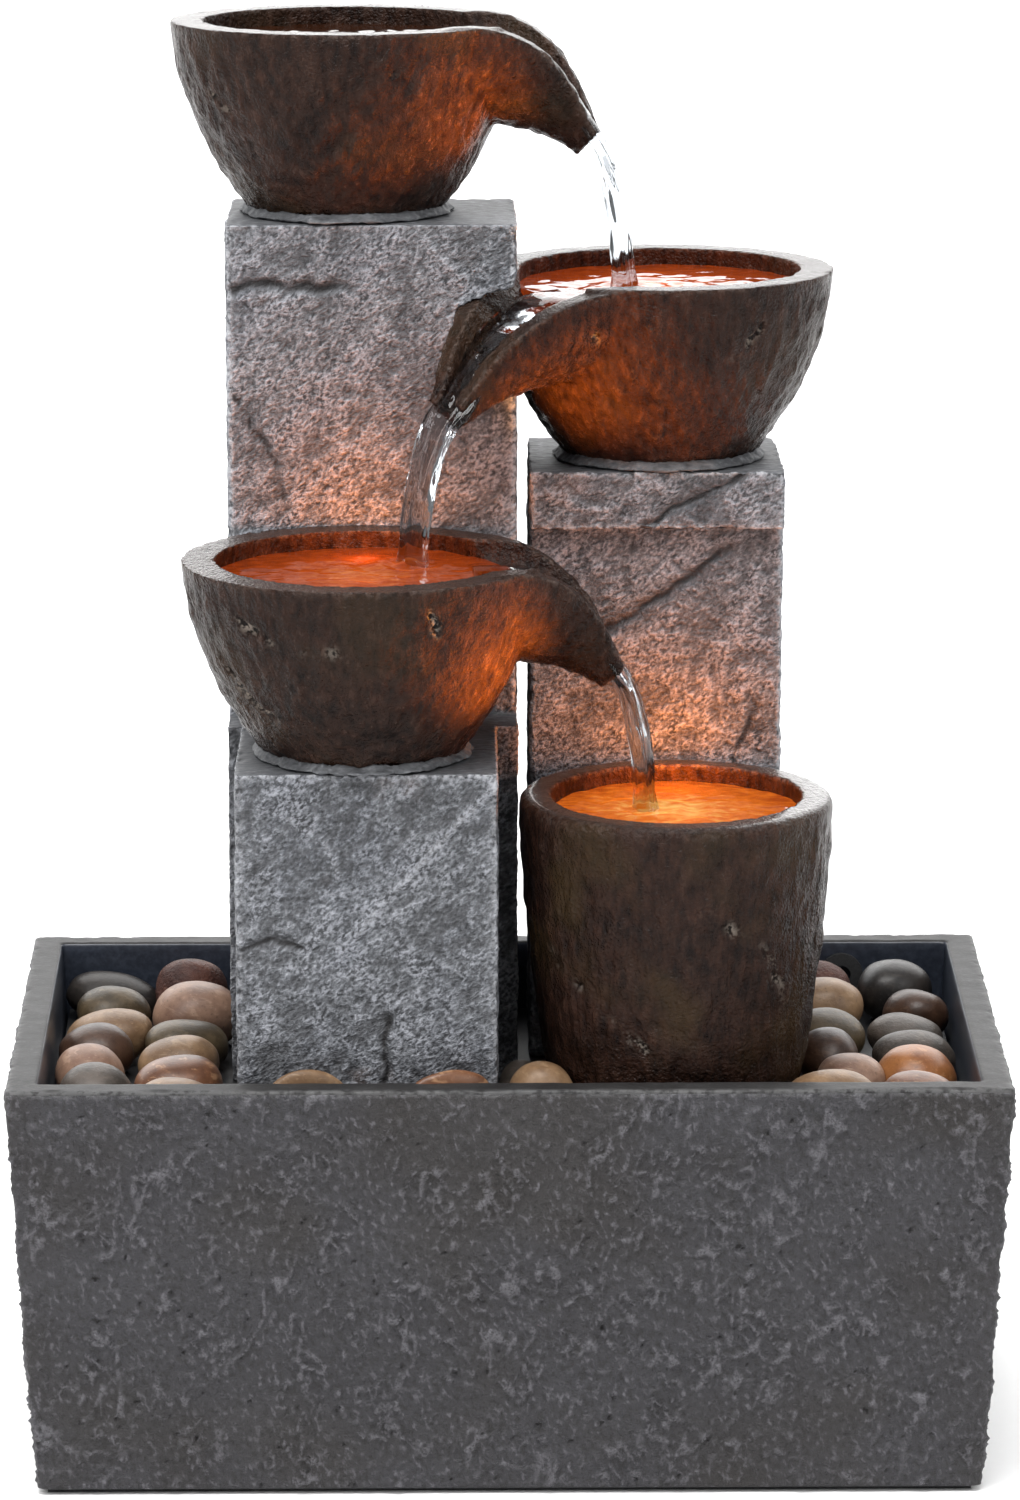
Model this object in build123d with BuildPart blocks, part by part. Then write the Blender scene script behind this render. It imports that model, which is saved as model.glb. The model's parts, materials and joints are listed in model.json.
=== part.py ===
from build123d import *
import math
import os

os.makedirs("parts", exist_ok=True)

# A tabletop water fountain. Z is up, the front looks along -Y, and the origin is the middle
# of the basin's underside. Sizes are in millimetres.

# Basin: a deep trough with walls that lean in towards the floor. The back wall is upright.
basin_depth = 163.0
basin_height = 117.0  # from the table to the rim
basin_width = 276.0  # outer width at the rim, half way back
basin_back_extra = 8.0  # the back edge is this much wider than the front edge
basin_lean = 6.4  # how far front and side walls lean in at the bottom
basin_wall = 8.8
basin_floor = 8.0
basin_corner = 2.0
ledge_width = 5.0  # shelf inside the basin that carries the deck
sheet_thickness = 1.5
sheet_inset = 3.0

# Deck: the slotted tray under the pebbles
deck_top = 97.0
deck_thickness = 4.0
deck_gap = 0.8
slot_length = 16.0
slot_width = 3.5

# Pillars
pillar_wall = 6.0
pillar_roof = 6.0
pillar_edge = 1.2  # worn edge
pillar_gap = 0.5  # grout gap between blocks
tall_left = -78.0
tall_width = 81.0
tall_front = 12.0
tall_depth = 59.5
tall_right_wall = 16.0  # thick enough for the seat of the middle bowl
bowl_seat_gap = 0.5
tall_top = 338.5
plinth_top = 200.0
plinth_depth = 16.0
front_left = -74.0
front_width = 71.0
front_depth = 60.0
front_top = 200.5
right_left = 6.5
right_width = 71.5
right_recess = 6.0  # the block stands this far behind the front of its cap
right_depth = 54.0
cap_top = 269.0
cap_thickness = 16.5

# Pouring bowls: one mould, used three times
bowl_radius = 49.0
bowl_height = 53.8
bowl_foot_radius = 26.0
bowl_belly_radius = 41.8
bowl_belly_height = 25.0
bowl_wall = 9.5
bowl_floor = 12.0
belly_thinning = 0.7  # the wall at the belly, as a share of the wall at the rim
bowl_inner_radius = 22.0  # flat part of the inner floor
top_bowl_x = -44.7
top_bowl_turn = -6.0
middle_bowl_x = 43.6
middle_bowl_turn = 222.0
middle_lip_reach = 1.5  # the middle bowl's lip reaches this many times as far past its rim
lower_bowl_x = -39.6
lower_bowl_y = -37.3
lower_bowl_turn = 4.0
bed_width = 7.0
bed_height = 3.0

# Pouring lip of a bowl, as stations along it: how far out and how far below the rim its top
# edge and its keel are, its width, and the depth of its channel
lip_stations = [
    (30.0, 0.0, 30.0, 26.0, 66.0, 12.0),
    (49.0, 2.2, 43.0, 29.0, 46.0, 12.5),
    (60.0, 10.5, 50.5, 30.5, 31.0, 11.0),
    (66.5, 21.0, 58.0, 33.0, 20.5, 8.0),
    (71.0, 30.5, 65.0, 37.5, 13.5, 4.5),
]
lip_wall_start = 8.5
lip_wall_end = 4.0
channel_over = 3.0  # the channel cutter stands above the edge and past the end by this much

# Pot
pot_x = 46.0
pot_y = -34.0
pot_top = 188.0
pot_radius = 43.2
pot_middle_radius = 39.9
pot_foot_radius = 33.0
pot_wall = 9.0
pot_water_depth = 50.0
pot_inner_radius = 29.0
pot_floor = 8.0
pot_hollow_radius = 24.0
pot_lip_round = 3.0

# Lights: a puck on the floor of each lit vessel
light_radius = 12.0
light_height = 6.0
light_floor = 1.5
board_radius = 10.2
board_thickness = 1.2
board_z = 3.0
lens_thickness = 1.6
board_shelf = 1.5  # width of the step that the board lies on
lamp_chip = 2.8
lamp_chip_height = 0.8
lens_skirt = 0.8
fit_gap = 0.1
lead_radius = 1.2
lead_bend = 12.0  # five times the lead's diameter
seal_radius = 3.2
lead_hole_radius = 3.6

# Feed: hose from the pump to the top bowl, in the middle of the tall pillar
hose_inner_radius = 4.5
hose_wall = 2.0
nipple_bore_radius = 3.0
nipple_stem_radius = 5.0
nipple_flange_radius = 8.5
nipple_flange = 2.0
nipple_spout = 7.0
nut_height = 5.0
nut_across = 16.0
barb_length = 14.0

# Splitter box for the light leads, under the deck
splitter_x = 8.0
splitter_y = 0.0
splitter_width = 30.0
splitter_depth = 24.0
splitter_height = 22.0
splitter_wall = 1.6
port_drop = 14.0  # the leads run this far below the deck's underside
port_offset = 4.0

# Pump, with its rotor along Y
pump_width = 40.0
pump_height = 40.0
pump_length = 36.0
pump_ahead = 18.5  # the pump's front is this far ahead of the hose
cup_height = 5.5
cup_gap = 0.3
cup_radius = 6.0
cup_edge = 0.6
cup_hollow = 1.5
cup_skirt = 3.2  # height of the cup's sloping part
cup_neck = 2.8
rotor_rise = 21.0
chamber_radius = 14.5
chamber_length = 8.0
well_radius = 8.0
well_length = 20.0
well_wall = 1.5
pocket_width = 34.0
pocket_height = 27.0
pump_shell = 2.0
cover_thickness = 3.0
shaft_radius = 1.0
shaft_gap = 0.02
shaft_short = 0.2  # the shaft ends this far short of its pockets
running_gap = 0.05
bush_radius = 2.4
magnet_radius = 7.2
blade_radius = 12.5
blade_thickness = 1.2
blade_root = 3.0
hub_radius = 3.5
blade_count = 6
seal_thickness = 1.0
seal_inset = 0.2
strainer_wall = 1.5
strainer_gap = 0.3
strainer_length = 18.0
strainer_overlap = 4.0
dial_radius = 11.0
dial_thickness = 3.0
dial_stem_radius = 2.5
dial_stem_head = 0.9  # the stem's snap head is this much wider in radius
dial_port_radius = 1.8
dial_port_circle = 7.0

# Screws from under the deck into the pillars
screw_radius = 1.45
screw_head_radius = 3.0
screw_head = 2.0
screw_grip = 10.0
boss_radius = 4.0
boss_height = 14.0

# Cord gland in the back wall
gland_x = 100.0
gland_drop = 10.0  # its centre is this far below the rim
gland_hole_radius = 4.6
gland_flange_radius = 6.4
gland_flange = 1.6
cord_radius = 2.8

# Pebbles lie on the deck: x, y, half length, half width, half height and turn of each
pebble_gap = 0.3
left_stones = [
    (-114.5, 60.0, 12.5, 8.0, 6.0, 0),
    (-91.5, 60.0, 10.0, 9.0, 8.5, 0),
    (-114.0, 39.0, 10.5, 9.0, 7.5, 15),
    (-90.5, 33.0, 11.5, 11.0, 8.5, 0),
    (-115.0, 18.0, 11.5, 9.5, 6.5, -8),
    (-91.0, 10.0, 11.5, 9.0, 6.5, 10),
    (-116.5, -3.5, 9.5, 9.5, 7.5, 0),
    (-93.5, -12.0, 10.5, 9.5, 7.0, -20),
    (-116.0, -24.5, 9.0, 9.5, 7.5, 20),
    (-91.0, -35.0, 11.5, 10.0, 7.5, 12),
    (-114.5, -46.0, 9.5, 9.5, 8.0, 0),
    (-89.5, -58.0, 11.0, 9.0, 7.5, -10),
    (-112.5, -64.0, 9.5, 6.0, 6.5, 0),
]
right_stones = [
    (92.0, 60.0, 10.0, 8.5, 8.0, 0),
    (116.0, 57.0, 10.5, 9.0, 8.5, 10),
    (93.0, 37.0, 11.0, 10.5, 8.5, -10),
    (118.0, 35.0, 8.5, 9.5, 7.0, 0),
    (92.0, 12.0, 10.5, 10.5, 7.5, 15),
    (115.5, 13.0, 10.0, 9.0, 6.0, -12),
    (90.5, -12.0, 8.5, 10.0, 8.0, 0),
    (114.0, -10.5, 11.5, 9.5, 7.5, 8),
    (93.5, -35.0, 8.5, 9.0, 7.5, 0),
    (114.0, -33.0, 10.5, 10.0, 8.0, -15),
    (87.0, -58.5, 12.5, 9.0, 8.5, 10),
    (112.5, -58.0, 10.5, 9.5, 8.0, 12),
]
front_stones = [
    (-55.0, -68.1, 11.5, 3.0, 10.6, 0),
    (-37.0, -68.1, 5.5, 3.0, 7.0, 0),
    (-18.0, -68.1, 12.5, 3.0, 10.4, 0),
    (8.8, -60.0, 8.8, 8.5, 10.6, 0),
    (4.5, -38.0, 5.5, 8.0, 7.0, 0),
]

# Values worked out from the sizes above
rim_z = basin_height
floor_z = sheet_thickness + basin_floor
ledge_z = deck_top - deck_thickness
wall_and_gap = basin_wall + deck_gap
front_y = tall_front - plinth_depth - pillar_gap - front_depth
right_front = tall_front + right_recess
feed_x = top_bowl_x
feed_y = tall_front + tall_depth / 2 - 1.0
middle_bowl_y = feed_y
pot_height = pot_top - deck_top
hose_outer_radius = hose_inner_radius + hose_wall
pump_bottom = floor_z + cup_gap + cup_height
rotor_z = pump_bottom + rotor_rise
pump_front = feed_y - pump_ahead
gland_z = rim_z - gland_drop


def save(piece, name):
    """Label a finished piece and write it."""
    piece.part.label = name
    export_step(piece.part, f"parts/{name}.step")


def lean(z):
    """How far a leaning wall stands in from the rim's outline at a height."""
    return basin_lean * (rim_z - z) / rim_z


def half_width(y):
    """Half the basin's width at the rim, which grows towards the back."""
    return basin_width / 2 + basin_back_extra / 2 * y / basin_depth


def trough_outline(z, inset):
    """Corners of the basin's outline at a height, moved in by an inset."""
    front = -basin_depth / 2 + lean(z) + inset
    back = basin_depth / 2 - inset
    front_half = half_width(front) - lean(z) - inset
    back_half = half_width(back) - lean(z) - inset
    return [(-front_half, front), (front_half, front), (back_half, back), (-back_half, back)]


def trough(z_low, z_high, inset, mode=Mode.ADD):
    """A solid that follows the basin's leaning walls between two heights."""
    outlines = []
    for z in (z_low, z_high):
        with BuildSketch(Plane.XY.offset(z)) as outline:
            Polygon(*trough_outline(z, inset), align=None)
        outlines.append(outline.sketch)
    loft(outlines, mode=mode)


def facing(y):
    """A plane at y that faces the front: its x is X and its y is Z. A negative extrude goes back."""
    return Plane.XZ.offset(-y)


def slot_columns(x_in, x_out):
    """Middles of two columns of deck slots between two distances from the centre line."""
    quarter = (x_out - x_in) / 4
    return [x_in + quarter, x_out - quarter]


# ---- basin and what is fixed to it ----

with BuildPart() as base_sheet:
    trough(0, sheet_thickness, sheet_inset)
save(base_sheet, "base_sheet")

def basin_block():
    """The basin's whole outer shape, with its upright corners worn round."""
    with BuildPart() as whole:
        trough(sheet_thickness, rim_z, 0)
        tall_edges = whole.edges().filter_by(lambda e: e.bounding_box().size.Z > basin_height / 2)
        fillet(tall_edges, basin_corner)
    return whole.part


def back_slab(mode):
    """The upright slab at the back of the basin, as thick as its wall."""
    with BuildSketch(facing(basin_depth / 2)) as outline:
        Rectangle(2 * basin_width, 3 * rim_z)
    extrude(outline.sketch, amount=basin_wall, mode=mode)


# The back wall is a panel of its own, so that the cord's hole can be cut in it
with BuildPart() as basin:
    add(basin_block())
    back_slab(Mode.SUBTRACT)
    trough(ledge_z, rim_z, basin_wall, Mode.SUBTRACT)
    trough(floor_z, ledge_z, basin_wall + ledge_width, Mode.SUBTRACT)
save(basin, "basin")

with BuildPart() as back_panel:
    add(basin_block())
    back_slab(Mode.INTERSECT)
    with BuildSketch(facing(basin_depth / 2)):
        with Locations((gland_x, gland_z)):
            Circle(gland_hole_radius)
    extrude(amount=basin_wall, mode=Mode.SUBTRACT)
save(back_panel, "back_panel")

with BuildPart() as cord_gland:
    gland_back = basin_depth / 2 + gland_flange
    with BuildSketch(facing(gland_back)):
        with Locations((gland_x, gland_z)):
            Circle(gland_flange_radius)
    extrude(amount=gland_flange)
    with BuildSketch(facing(basin_depth / 2)):
        with Locations((gland_x, gland_z)):
            Circle(gland_hole_radius)
    extrude(amount=basin_wall)
    with BuildSketch(facing(basin_depth / 2 - basin_wall)):
        with Locations((gland_x, gland_z)):
            Circle(gland_flange_radius)
    extrude(amount=gland_flange)
    with BuildSketch(facing(gland_back)):
        with Locations((gland_x, gland_z)):
            Circle(cord_radius)
    extrude(amount=basin_wall + 2 * gland_flange, mode=Mode.SUBTRACT)
save(cord_gland, "cord_gland")

# ---- deck and pillars ----

tall_middle = (tall_left + tall_width / 2, tall_front + tall_depth / 2)
front_middle = (front_left + front_width / 2, front_y + front_depth / 2)
right_middle = (right_left + right_width / 2, right_front + right_depth / 2)


def boss_places(middle, width, depth):
    """Two opposite inner corners of a pillar, where its screws go."""
    dx = width / 2 - pillar_wall - boss_radius + pillar_gap
    dy = depth / 2 - pillar_wall - boss_radius + pillar_gap
    return [(middle[0] - dx, middle[1] - dy), (middle[0] + dx, middle[1] + dy)]


boss_width = tall_width - (tall_right_wall - pillar_wall)
boss_middle = (tall_left + boss_width / 2, tall_middle[1])
tall_bosses = boss_places(boss_middle, boss_width, tall_depth)
front_bosses = boss_places(front_middle, front_width, front_depth)
right_bosses = boss_places(right_middle, right_width, right_depth)
all_bosses = tall_bosses + front_bosses + right_bosses

with BuildPart() as deck:
    trough(ledge_z, deck_top, wall_and_gap)
    side_edge = half_width(0) - wall_and_gap
    left_columns = [-x for x in slot_columns(-tall_left, side_edge)]
    right_columns = slot_columns(right_left + right_width, side_edge)
    with BuildSketch(Plane.XY.offset(deck_top)):
        for x in left_columns + right_columns:
            with Locations((x, 0)):
                with GridLocations(slot_length, 3 * slot_width, 1, 12):
                    SlotOverall(slot_length, slot_width)
        with Locations((feed_x, feed_y)):
            Circle(hose_outer_radius + fit_gap)
        lead_drops = [(middle_bowl_x, middle_bowl_y), (lower_bowl_x, lower_bowl_y), (pot_x, pot_y)]
        with Locations(*lead_drops):
            Circle(lead_hole_radius)
        with Locations(*all_bosses):
            Circle(screw_radius + fit_gap)
        with Locations((gland_x, basin_depth / 2 - wall_and_gap)):
            RectangleRounded(4 * cord_radius, 4 * cord_radius, cord_radius)
    extrude(amount=-deck_thickness, mode=Mode.SUBTRACT)
save(deck, "deck")


def block(middle, width, depth, z_low, z_high, mode=Mode.ADD):
    """An upright block about a middle point."""
    with BuildSketch(Plane.XY.offset(z_low)) as footprint:
        with Locations(middle):
            Rectangle(width, depth)
    extrude(footprint.sketch, amount=z_high - z_low, mode=mode)


def drill(places, radius, z_low, z_high):
    """Upright round holes."""
    with BuildSketch(Plane.XY.offset(z_low)) as holes:
        with Locations(*places):
            Circle(radius)
    extrude(holes.sketch, amount=z_high - z_low, mode=Mode.SUBTRACT)


def screw_bosses(places):
    """Bosses inside a pillar with the pilot holes for its screws."""
    with BuildSketch(Plane.XY.offset(deck_top)) as bosses:
        with Locations(*places):
            Circle(boss_radius)
    extrude(bosses.sketch, amount=boss_height)
    drill(places, screw_radius, deck_top, deck_top + screw_grip)


def hollow(middle, width, depth, z_high, right_wall=pillar_wall):
    """Hollow a pillar from below, leaving its walls and its roof."""
    inner_width = width - pillar_wall - right_wall
    inner_depth = depth - 2 * pillar_wall
    inner_middle = (middle[0] - (right_wall - pillar_wall) / 2, middle[1])
    block(inner_middle, inner_width, inner_depth, deck_top, z_high - pillar_roof, Mode.SUBTRACT)


with BuildPart() as front_pillar:
    block(front_middle, front_width, front_depth, deck_top, front_top)
    fillet(front_pillar.edges().filter_by(Axis.Z), pillar_edge)
    hollow(front_middle, front_width, front_depth, front_top)
    screw_bosses(front_bosses)
    lower_axis = [(lower_bowl_x, lower_bowl_y)]
    drill(lower_axis, lead_hole_radius, front_top - pillar_roof, front_top)
save(front_pillar, "front_pillar")

cap_underside = cap_top - cap_thickness
middle_axis = [(middle_bowl_x, middle_bowl_y)]

with BuildPart() as right_pillar:
    block(right_middle, right_width, right_depth, deck_top, cap_underside)
    fillet(right_pillar.edges().filter_by(Axis.Z), pillar_edge)
    hollow(right_middle, right_width, right_depth, cap_underside)
    screw_bosses(right_bosses)
    drill(middle_axis, lead_hole_radius, cap_underside - pillar_roof, cap_underside)
save(right_pillar, "right_pillar")

with BuildPart() as pillar_cap:
    cap_middle = (right_middle[0], right_middle[1] - right_recess / 2)
    block(cap_middle, right_width, right_depth + right_recess, cap_underside, cap_top)
    fillet(pillar_cap.edges().filter_by(Axis.Z), pillar_edge)
    drill(middle_axis, lead_hole_radius, cap_underside, cap_top)
save(pillar_cap, "pillar_cap")

with BuildPart() as pillar_screws:
    with BuildSketch(Plane.XY.offset(ledge_z - screw_head)):
        with Locations(*all_bosses):
            Circle(screw_head_radius)
    extrude(amount=screw_head)
    with BuildSketch(Plane.XY.offset(ledge_z)):
        with Locations(*all_bosses):
            Circle(screw_radius - running_gap)
    extrude(amount=deck_thickness + screw_grip - 1)
save(pillar_screws, "pillar_screws")

# ---- bowls and pot ----


def upright_plane(seat):
    """The plane through a seat's axis that holds the seat's x and up directions."""
    return Plane(origin=seat.origin, x_dir=seat.x_dir, z_dir=-seat.y_dir)


def lip_plane(seat, out, drop, keel_out, keel_drop):
    """A plane across the pouring lip: its origin on the top edge, its y away from the keel."""
    edge = seat.from_local_coords(Vector(out, 0, bowl_height - drop))
    keel = seat.from_local_coords(Vector(keel_out, 0, bowl_height - keel_drop))
    up = (edge - keel).normalized()
    return Plane(origin=edge, x_dir=seat.y_dir, z_dir=seat.y_dir.cross(up))


def reached(station, reach):
    """A lip station moved out for a lip that reaches further past the rim."""
    out, drop, keel_out, keel_drop, width, channel = station
    shift = max(0, out - bowl_radius) * (reach - 1)
    return out + shift, drop, keel_out + shift, keel_drop, width, channel


def lip_body(seat, reach, extra, mode):
    """Solid outside of the pouring lip, lofted along its stations."""
    sections = []
    for station in lip_stations:
        out, drop, keel_out, keel_drop, width, channel = reached(station, reach)
        depth = math.hypot(out - keel_out, keel_drop - drop) + extra
        half = width / 2 + extra
        with BuildSketch(lip_plane(seat, out, drop, keel_out, keel_drop)) as section:
            with BuildLine():
                EllipticalCenterArc((0, 0), half, depth, start_angle=180, arc_size=180)
                Line((half, 0), (-half, 0))
            make_face()
        sections.append(section.sketch)
    loft(sections, mode=mode)


def bowl_outside(seat, reach, extra=0, mode=Mode.ADD):
    """Solid outside of a bowl and its lip, or the larger seat that it fits in."""
    with BuildSketch(upright_plane(seat)) as profile:
        with BuildLine():
            foot = bowl_foot_radius + extra
            rim = bowl_radius + extra
            top = bowl_height + extra
            Line((0, 0), (foot, 0))
            ThreePointArc((foot, 0), (bowl_belly_radius + extra, bowl_belly_height), (rim, top))
            Line((rim, top), (0, top))
            Line((0, top), (0, 0))
        make_face()
    revolve(profile.sketch, axis=Axis(seat.origin, seat.z_dir), mode=mode)
    lip_body(seat, reach, extra, mode)


def lip_channel(seat, reach):
    """Cut the channel that the water runs along."""
    last = len(lip_stations) - 1
    sections = []
    for i, station in enumerate(lip_stations):
        out, drop, keel_out, keel_drop, width, channel = reached(station, reach)
        wall = lip_wall_start + (lip_wall_end - lip_wall_start) * i / last
        half = width / 2 - wall
        with BuildSketch(lip_plane(seat, out, drop, keel_out, keel_drop)) as section:
            with BuildLine():
                EllipticalCenterArc((0, 0), half, channel, start_angle=180, arc_size=180)
                Polyline((half, 0), (half, channel_over), (-half, channel_over), (-half, 0))
            make_face()
        sections.append(section.sketch)
    loft(sections, mode=Mode.SUBTRACT)


def vessel_inside(seat, floor, floor_radius, belly_radius, belly_z, mouth_radius, mouth_z):
    """Cut a round hollow with a curved wall and a flat floor."""
    with BuildSketch(upright_plane(seat)) as profile:
        with BuildLine():
            Line((0, floor), (floor_radius, floor))
            ThreePointArc((floor_radius, floor), (belly_radius, belly_z), (mouth_radius, mouth_z))
            Line((mouth_radius, mouth_z), (0, mouth_z))
            Line((0, mouth_z), (0, floor))
        make_face()
    revolve(profile.sketch, axis=Axis(seat.origin, seat.z_dir), mode=Mode.SUBTRACT)


def make_bowl(seat, hole_radius, reach=1.0):
    """A bowl with a pouring lip towards the seat's x direction."""
    with BuildPart() as bowl:
        bowl_outside(seat, reach)
        inner_belly = bowl_belly_radius - belly_thinning * bowl_wall
        inner_belly_z = bowl_belly_height + bowl_floor / 4
        mouth = bowl_radius - bowl_wall
        vessel_inside(
            seat, bowl_floor, bowl_inner_radius, inner_belly, inner_belly_z, mouth, bowl_height
        )
        lip_channel(seat, reach)
        with BuildSketch(seat):
            Circle(hole_radius)
        extrude(amount=bowl_floor, mode=Mode.SUBTRACT)
    return bowl


def seat_at(x, y, z, turn):
    """A level plane at a vessel's foot, turned so that its x points along the pouring lip."""
    angle = math.radians(turn)
    return Plane(origin=(x, y, z), x_dir=(math.cos(angle), math.sin(angle), 0), z_dir=(0, 0, 1))


top_seat = seat_at(feed_x, feed_y, tall_top, top_bowl_turn)
middle_seat = seat_at(middle_bowl_x, middle_bowl_y, cap_top, middle_bowl_turn)
lower_seat = seat_at(lower_bowl_x, lower_bowl_y, front_top, lower_bowl_turn)
pot_seat = seat_at(pot_x, pot_y, deck_top, 0)

top_bowl = make_bowl(top_seat, nipple_stem_radius + fit_gap)
save(top_bowl, "top_bowl")
middle_bowl = make_bowl(middle_seat, seal_radius, middle_lip_reach)
save(middle_bowl, "middle_bowl")
lower_bowl = make_bowl(lower_seat, seal_radius)
save(lower_bowl, "lower_bowl")


with BuildPart() as tall_pillar:
    block(tall_middle, tall_width, tall_depth, deck_top, tall_top)
    plinth_middle = (tall_middle[0], tall_front - plinth_depth / 2)
    block(plinth_middle, tall_width, plinth_depth, deck_top, plinth_top)
    upright = tall_pillar.edges().filter_by(Axis.Z)
    fillet(upright.filter_by(lambda e: e.bounding_box().max.Z > tall_top - 1), pillar_edge)
    hollow(tall_middle, tall_width, tall_depth, tall_top, tall_right_wall)
    screw_bosses(tall_bosses)
    drill([(feed_x, feed_y)], nipple_stem_radius + fit_gap, tall_top - pillar_roof, tall_top)
    bowl_outside(middle_seat, middle_lip_reach, bowl_seat_gap, Mode.SUBTRACT)
save(tall_pillar, "tall_pillar")


def make_bed(seat):
    """The ring of mortar that beds a bowl's foot on its pillar."""
    with BuildPart() as bed:
        with BuildSketch(upright_plane(seat)):
            inner = bowl_foot_radius + 1
            Polygon(
                (inner, 0),
                (inner + bed_width, 0),
                (inner + bed_height + fit_gap, bed_height),
                align=None,
            )
        revolve(axis=Axis(seat.origin, seat.z_dir))
    return bed


for level, seat in (("top", top_seat), ("middle", middle_seat), ("lower", lower_seat)):
    save(make_bed(seat), f"{level}_bowl_bed")

pot_floor_z = pot_height - pot_water_depth

with BuildPart() as pot:
    with BuildSketch(upright_plane(pot_seat)):
        with BuildLine():
            Line((0, 0), (pot_foot_radius, 0))
            pot_belly = (pot_middle_radius, pot_height / 2)
            ThreePointArc((pot_foot_radius, 0), pot_belly, (pot_radius, pot_height))
            Line((pot_radius, pot_height), (0, pot_height))
            Line((0, pot_height), (0, 0))
        make_face()
    revolve(axis=Axis(pot_seat.origin, pot_seat.z_dir))
    fillet(pot.edges().group_by(Axis.Z)[-1], pot_lip_round)
    pot_mouth = pot_radius - pot_wall
    pot_inner_belly = (pot_mouth + pot_inner_radius) / 2 + 1
    pot_inner_belly_z = pot_height - pot_water_depth / 2
    vessel_inside(
        pot_seat,
        pot_floor_z,
        pot_inner_radius,
        pot_inner_belly,
        pot_inner_belly_z,
        pot_mouth,
        pot_height,
    )
    with BuildSketch(pot_seat):
        Circle(pot_hollow_radius)
    extrude(amount=pot_floor_z - pot_floor, mode=Mode.SUBTRACT)
    with BuildSketch(pot_seat):
        Circle(seal_radius)
    extrude(amount=pot_floor_z, mode=Mode.SUBTRACT)
save(pot, "pot")

# ---- lights ----


def disc(seat, z, radius, height, mode=Mode.ADD):
    """A disc on a seat's axis, from a height above the seat."""
    with BuildSketch(seat.offset(z)) as circle:
        Circle(radius)
    extrude(circle.sketch, amount=height, mode=mode)


def make_light(level, seat, floor_height, seal_height):
    """Housing, board, lens and seal of the light that lies on a vessel's floor."""
    puck = seat.offset(floor_height)
    with BuildPart() as housing:
        disc(puck, 0, light_radius, light_height)
        disc(puck, light_floor, board_radius - board_shelf, light_height, Mode.SUBTRACT)
        disc(puck, board_z, board_radius + fit_gap, light_height, Mode.SUBTRACT)
        disc(puck, 0, lead_radius + running_gap, light_floor, Mode.SUBTRACT)
    save(housing, f"{level}_light_housing")

    with BuildPart() as board:
        disc(puck, board_z, board_radius, board_thickness)
        with BuildSketch(puck.offset(board_z + board_thickness)):
            with PolarLocations(board_radius / 2, 3):
                Rectangle(lamp_chip, lamp_chip)
        extrude(amount=lamp_chip_height)
    save(board, f"{level}_light_board")

    with BuildPart() as lens:
        disc(puck, light_height, light_radius, lens_thickness)
        disc(puck, light_height - lens_skirt, board_radius, lens_skirt)
        fillet(lens.edges().group_by(Axis.Z)[-1], lens_thickness / 2)
    save(lens, f"{level}_light_lens")

    with BuildPart() as seal:
        disc(puck, -seal_height, seal_radius, seal_height)
        disc(puck, -seal_height, lead_radius + running_gap, seal_height, Mode.SUBTRACT)
    save(seal, f"{level}_light_seal")


make_light("middle", middle_seat, bowl_floor, bowl_floor)
make_light("lower", lower_seat, bowl_floor, bowl_floor)
make_light("pot", pot_seat, pot_floor_z, pot_floor)


def make_lead(level, points):
    """A light's lead along a route of straight runs and round bends."""
    with BuildPart() as lead:
        with BuildLine():
            FilletPolyline(*points, radius=lead_bend)
        with BuildSketch(Plane(origin=points[0], z_dir=(0, 0, -1))):
            Circle(lead_radius)
        sweep()
    save(lead, f"{level}_light_lead")
    print(f"{level} light lead: every bend has a radius of {lead_bend} mm")


port_z = ledge_z - port_drop
left_port_x = splitter_x - splitter_width / 2 + 3
right_port_x = splitter_x + splitter_width / 2 - 3


def lead_route(x, y, z_start, port_x, port_y):
    """Down from a light, then under the deck to the splitter's port."""
    return [(x, y, z_start), (x, y, port_z), (x, port_y, port_z), (port_x, port_y, port_z)]


lead_start = board_z - fit_gap
middle_start = cap_top + bowl_floor + lead_start
lower_start = front_top + bowl_floor + lead_start
pot_start = deck_top + pot_floor_z + lead_start
middle_port_y = splitter_y + port_offset
pot_port_y = splitter_y - port_offset
make_lead("middle", lead_route(middle_bowl_x, middle_bowl_y, middle_start, right_port_x, middle_port_y))
make_lead("lower", lead_route(lower_bowl_x, lower_bowl_y, lower_start, left_port_x, splitter_y))
make_lead("pot", lead_route(pot_x, pot_y, pot_start, right_port_x, pot_port_y))

splitter_middle = (splitter_x, splitter_y)
splitter_low = ledge_z - splitter_height

with BuildPart() as splitter_case:
    block(splitter_middle, splitter_width, splitter_depth, splitter_low, ledge_z)
    inner_width = splitter_width - 2 * splitter_wall
    inner_depth = splitter_depth - 2 * splitter_wall
    inside_low = splitter_low + splitter_wall
    block(splitter_middle, inner_width, inner_depth, inside_low, ledge_z, Mode.SUBTRACT)
    with BuildSketch(Plane.YZ.offset(splitter_x)):
        with Locations((middle_port_y, port_z), (pot_port_y, port_z)):
            Circle(lead_radius + running_gap)
    extrude(amount=splitter_width / 2, mode=Mode.SUBTRACT)
    with BuildSketch(Plane.YZ.offset(splitter_x)):
        with Locations((splitter_y, port_z)):
            Circle(lead_radius + running_gap)
    extrude(amount=-splitter_width / 2, mode=Mode.SUBTRACT)
save(splitter_case, "splitter_case")

with BuildPart() as splitter_terminals:
    terminal_width = right_port_x - left_port_x - 2 * fit_gap
    terminal_depth = inner_depth - 2 * fit_gap
    block(splitter_middle, terminal_width, terminal_depth, inside_low, port_z + 2 * lead_radius)
save(splitter_terminals, "splitter_terminals")

# ---- feed hose and nipple ----

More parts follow.
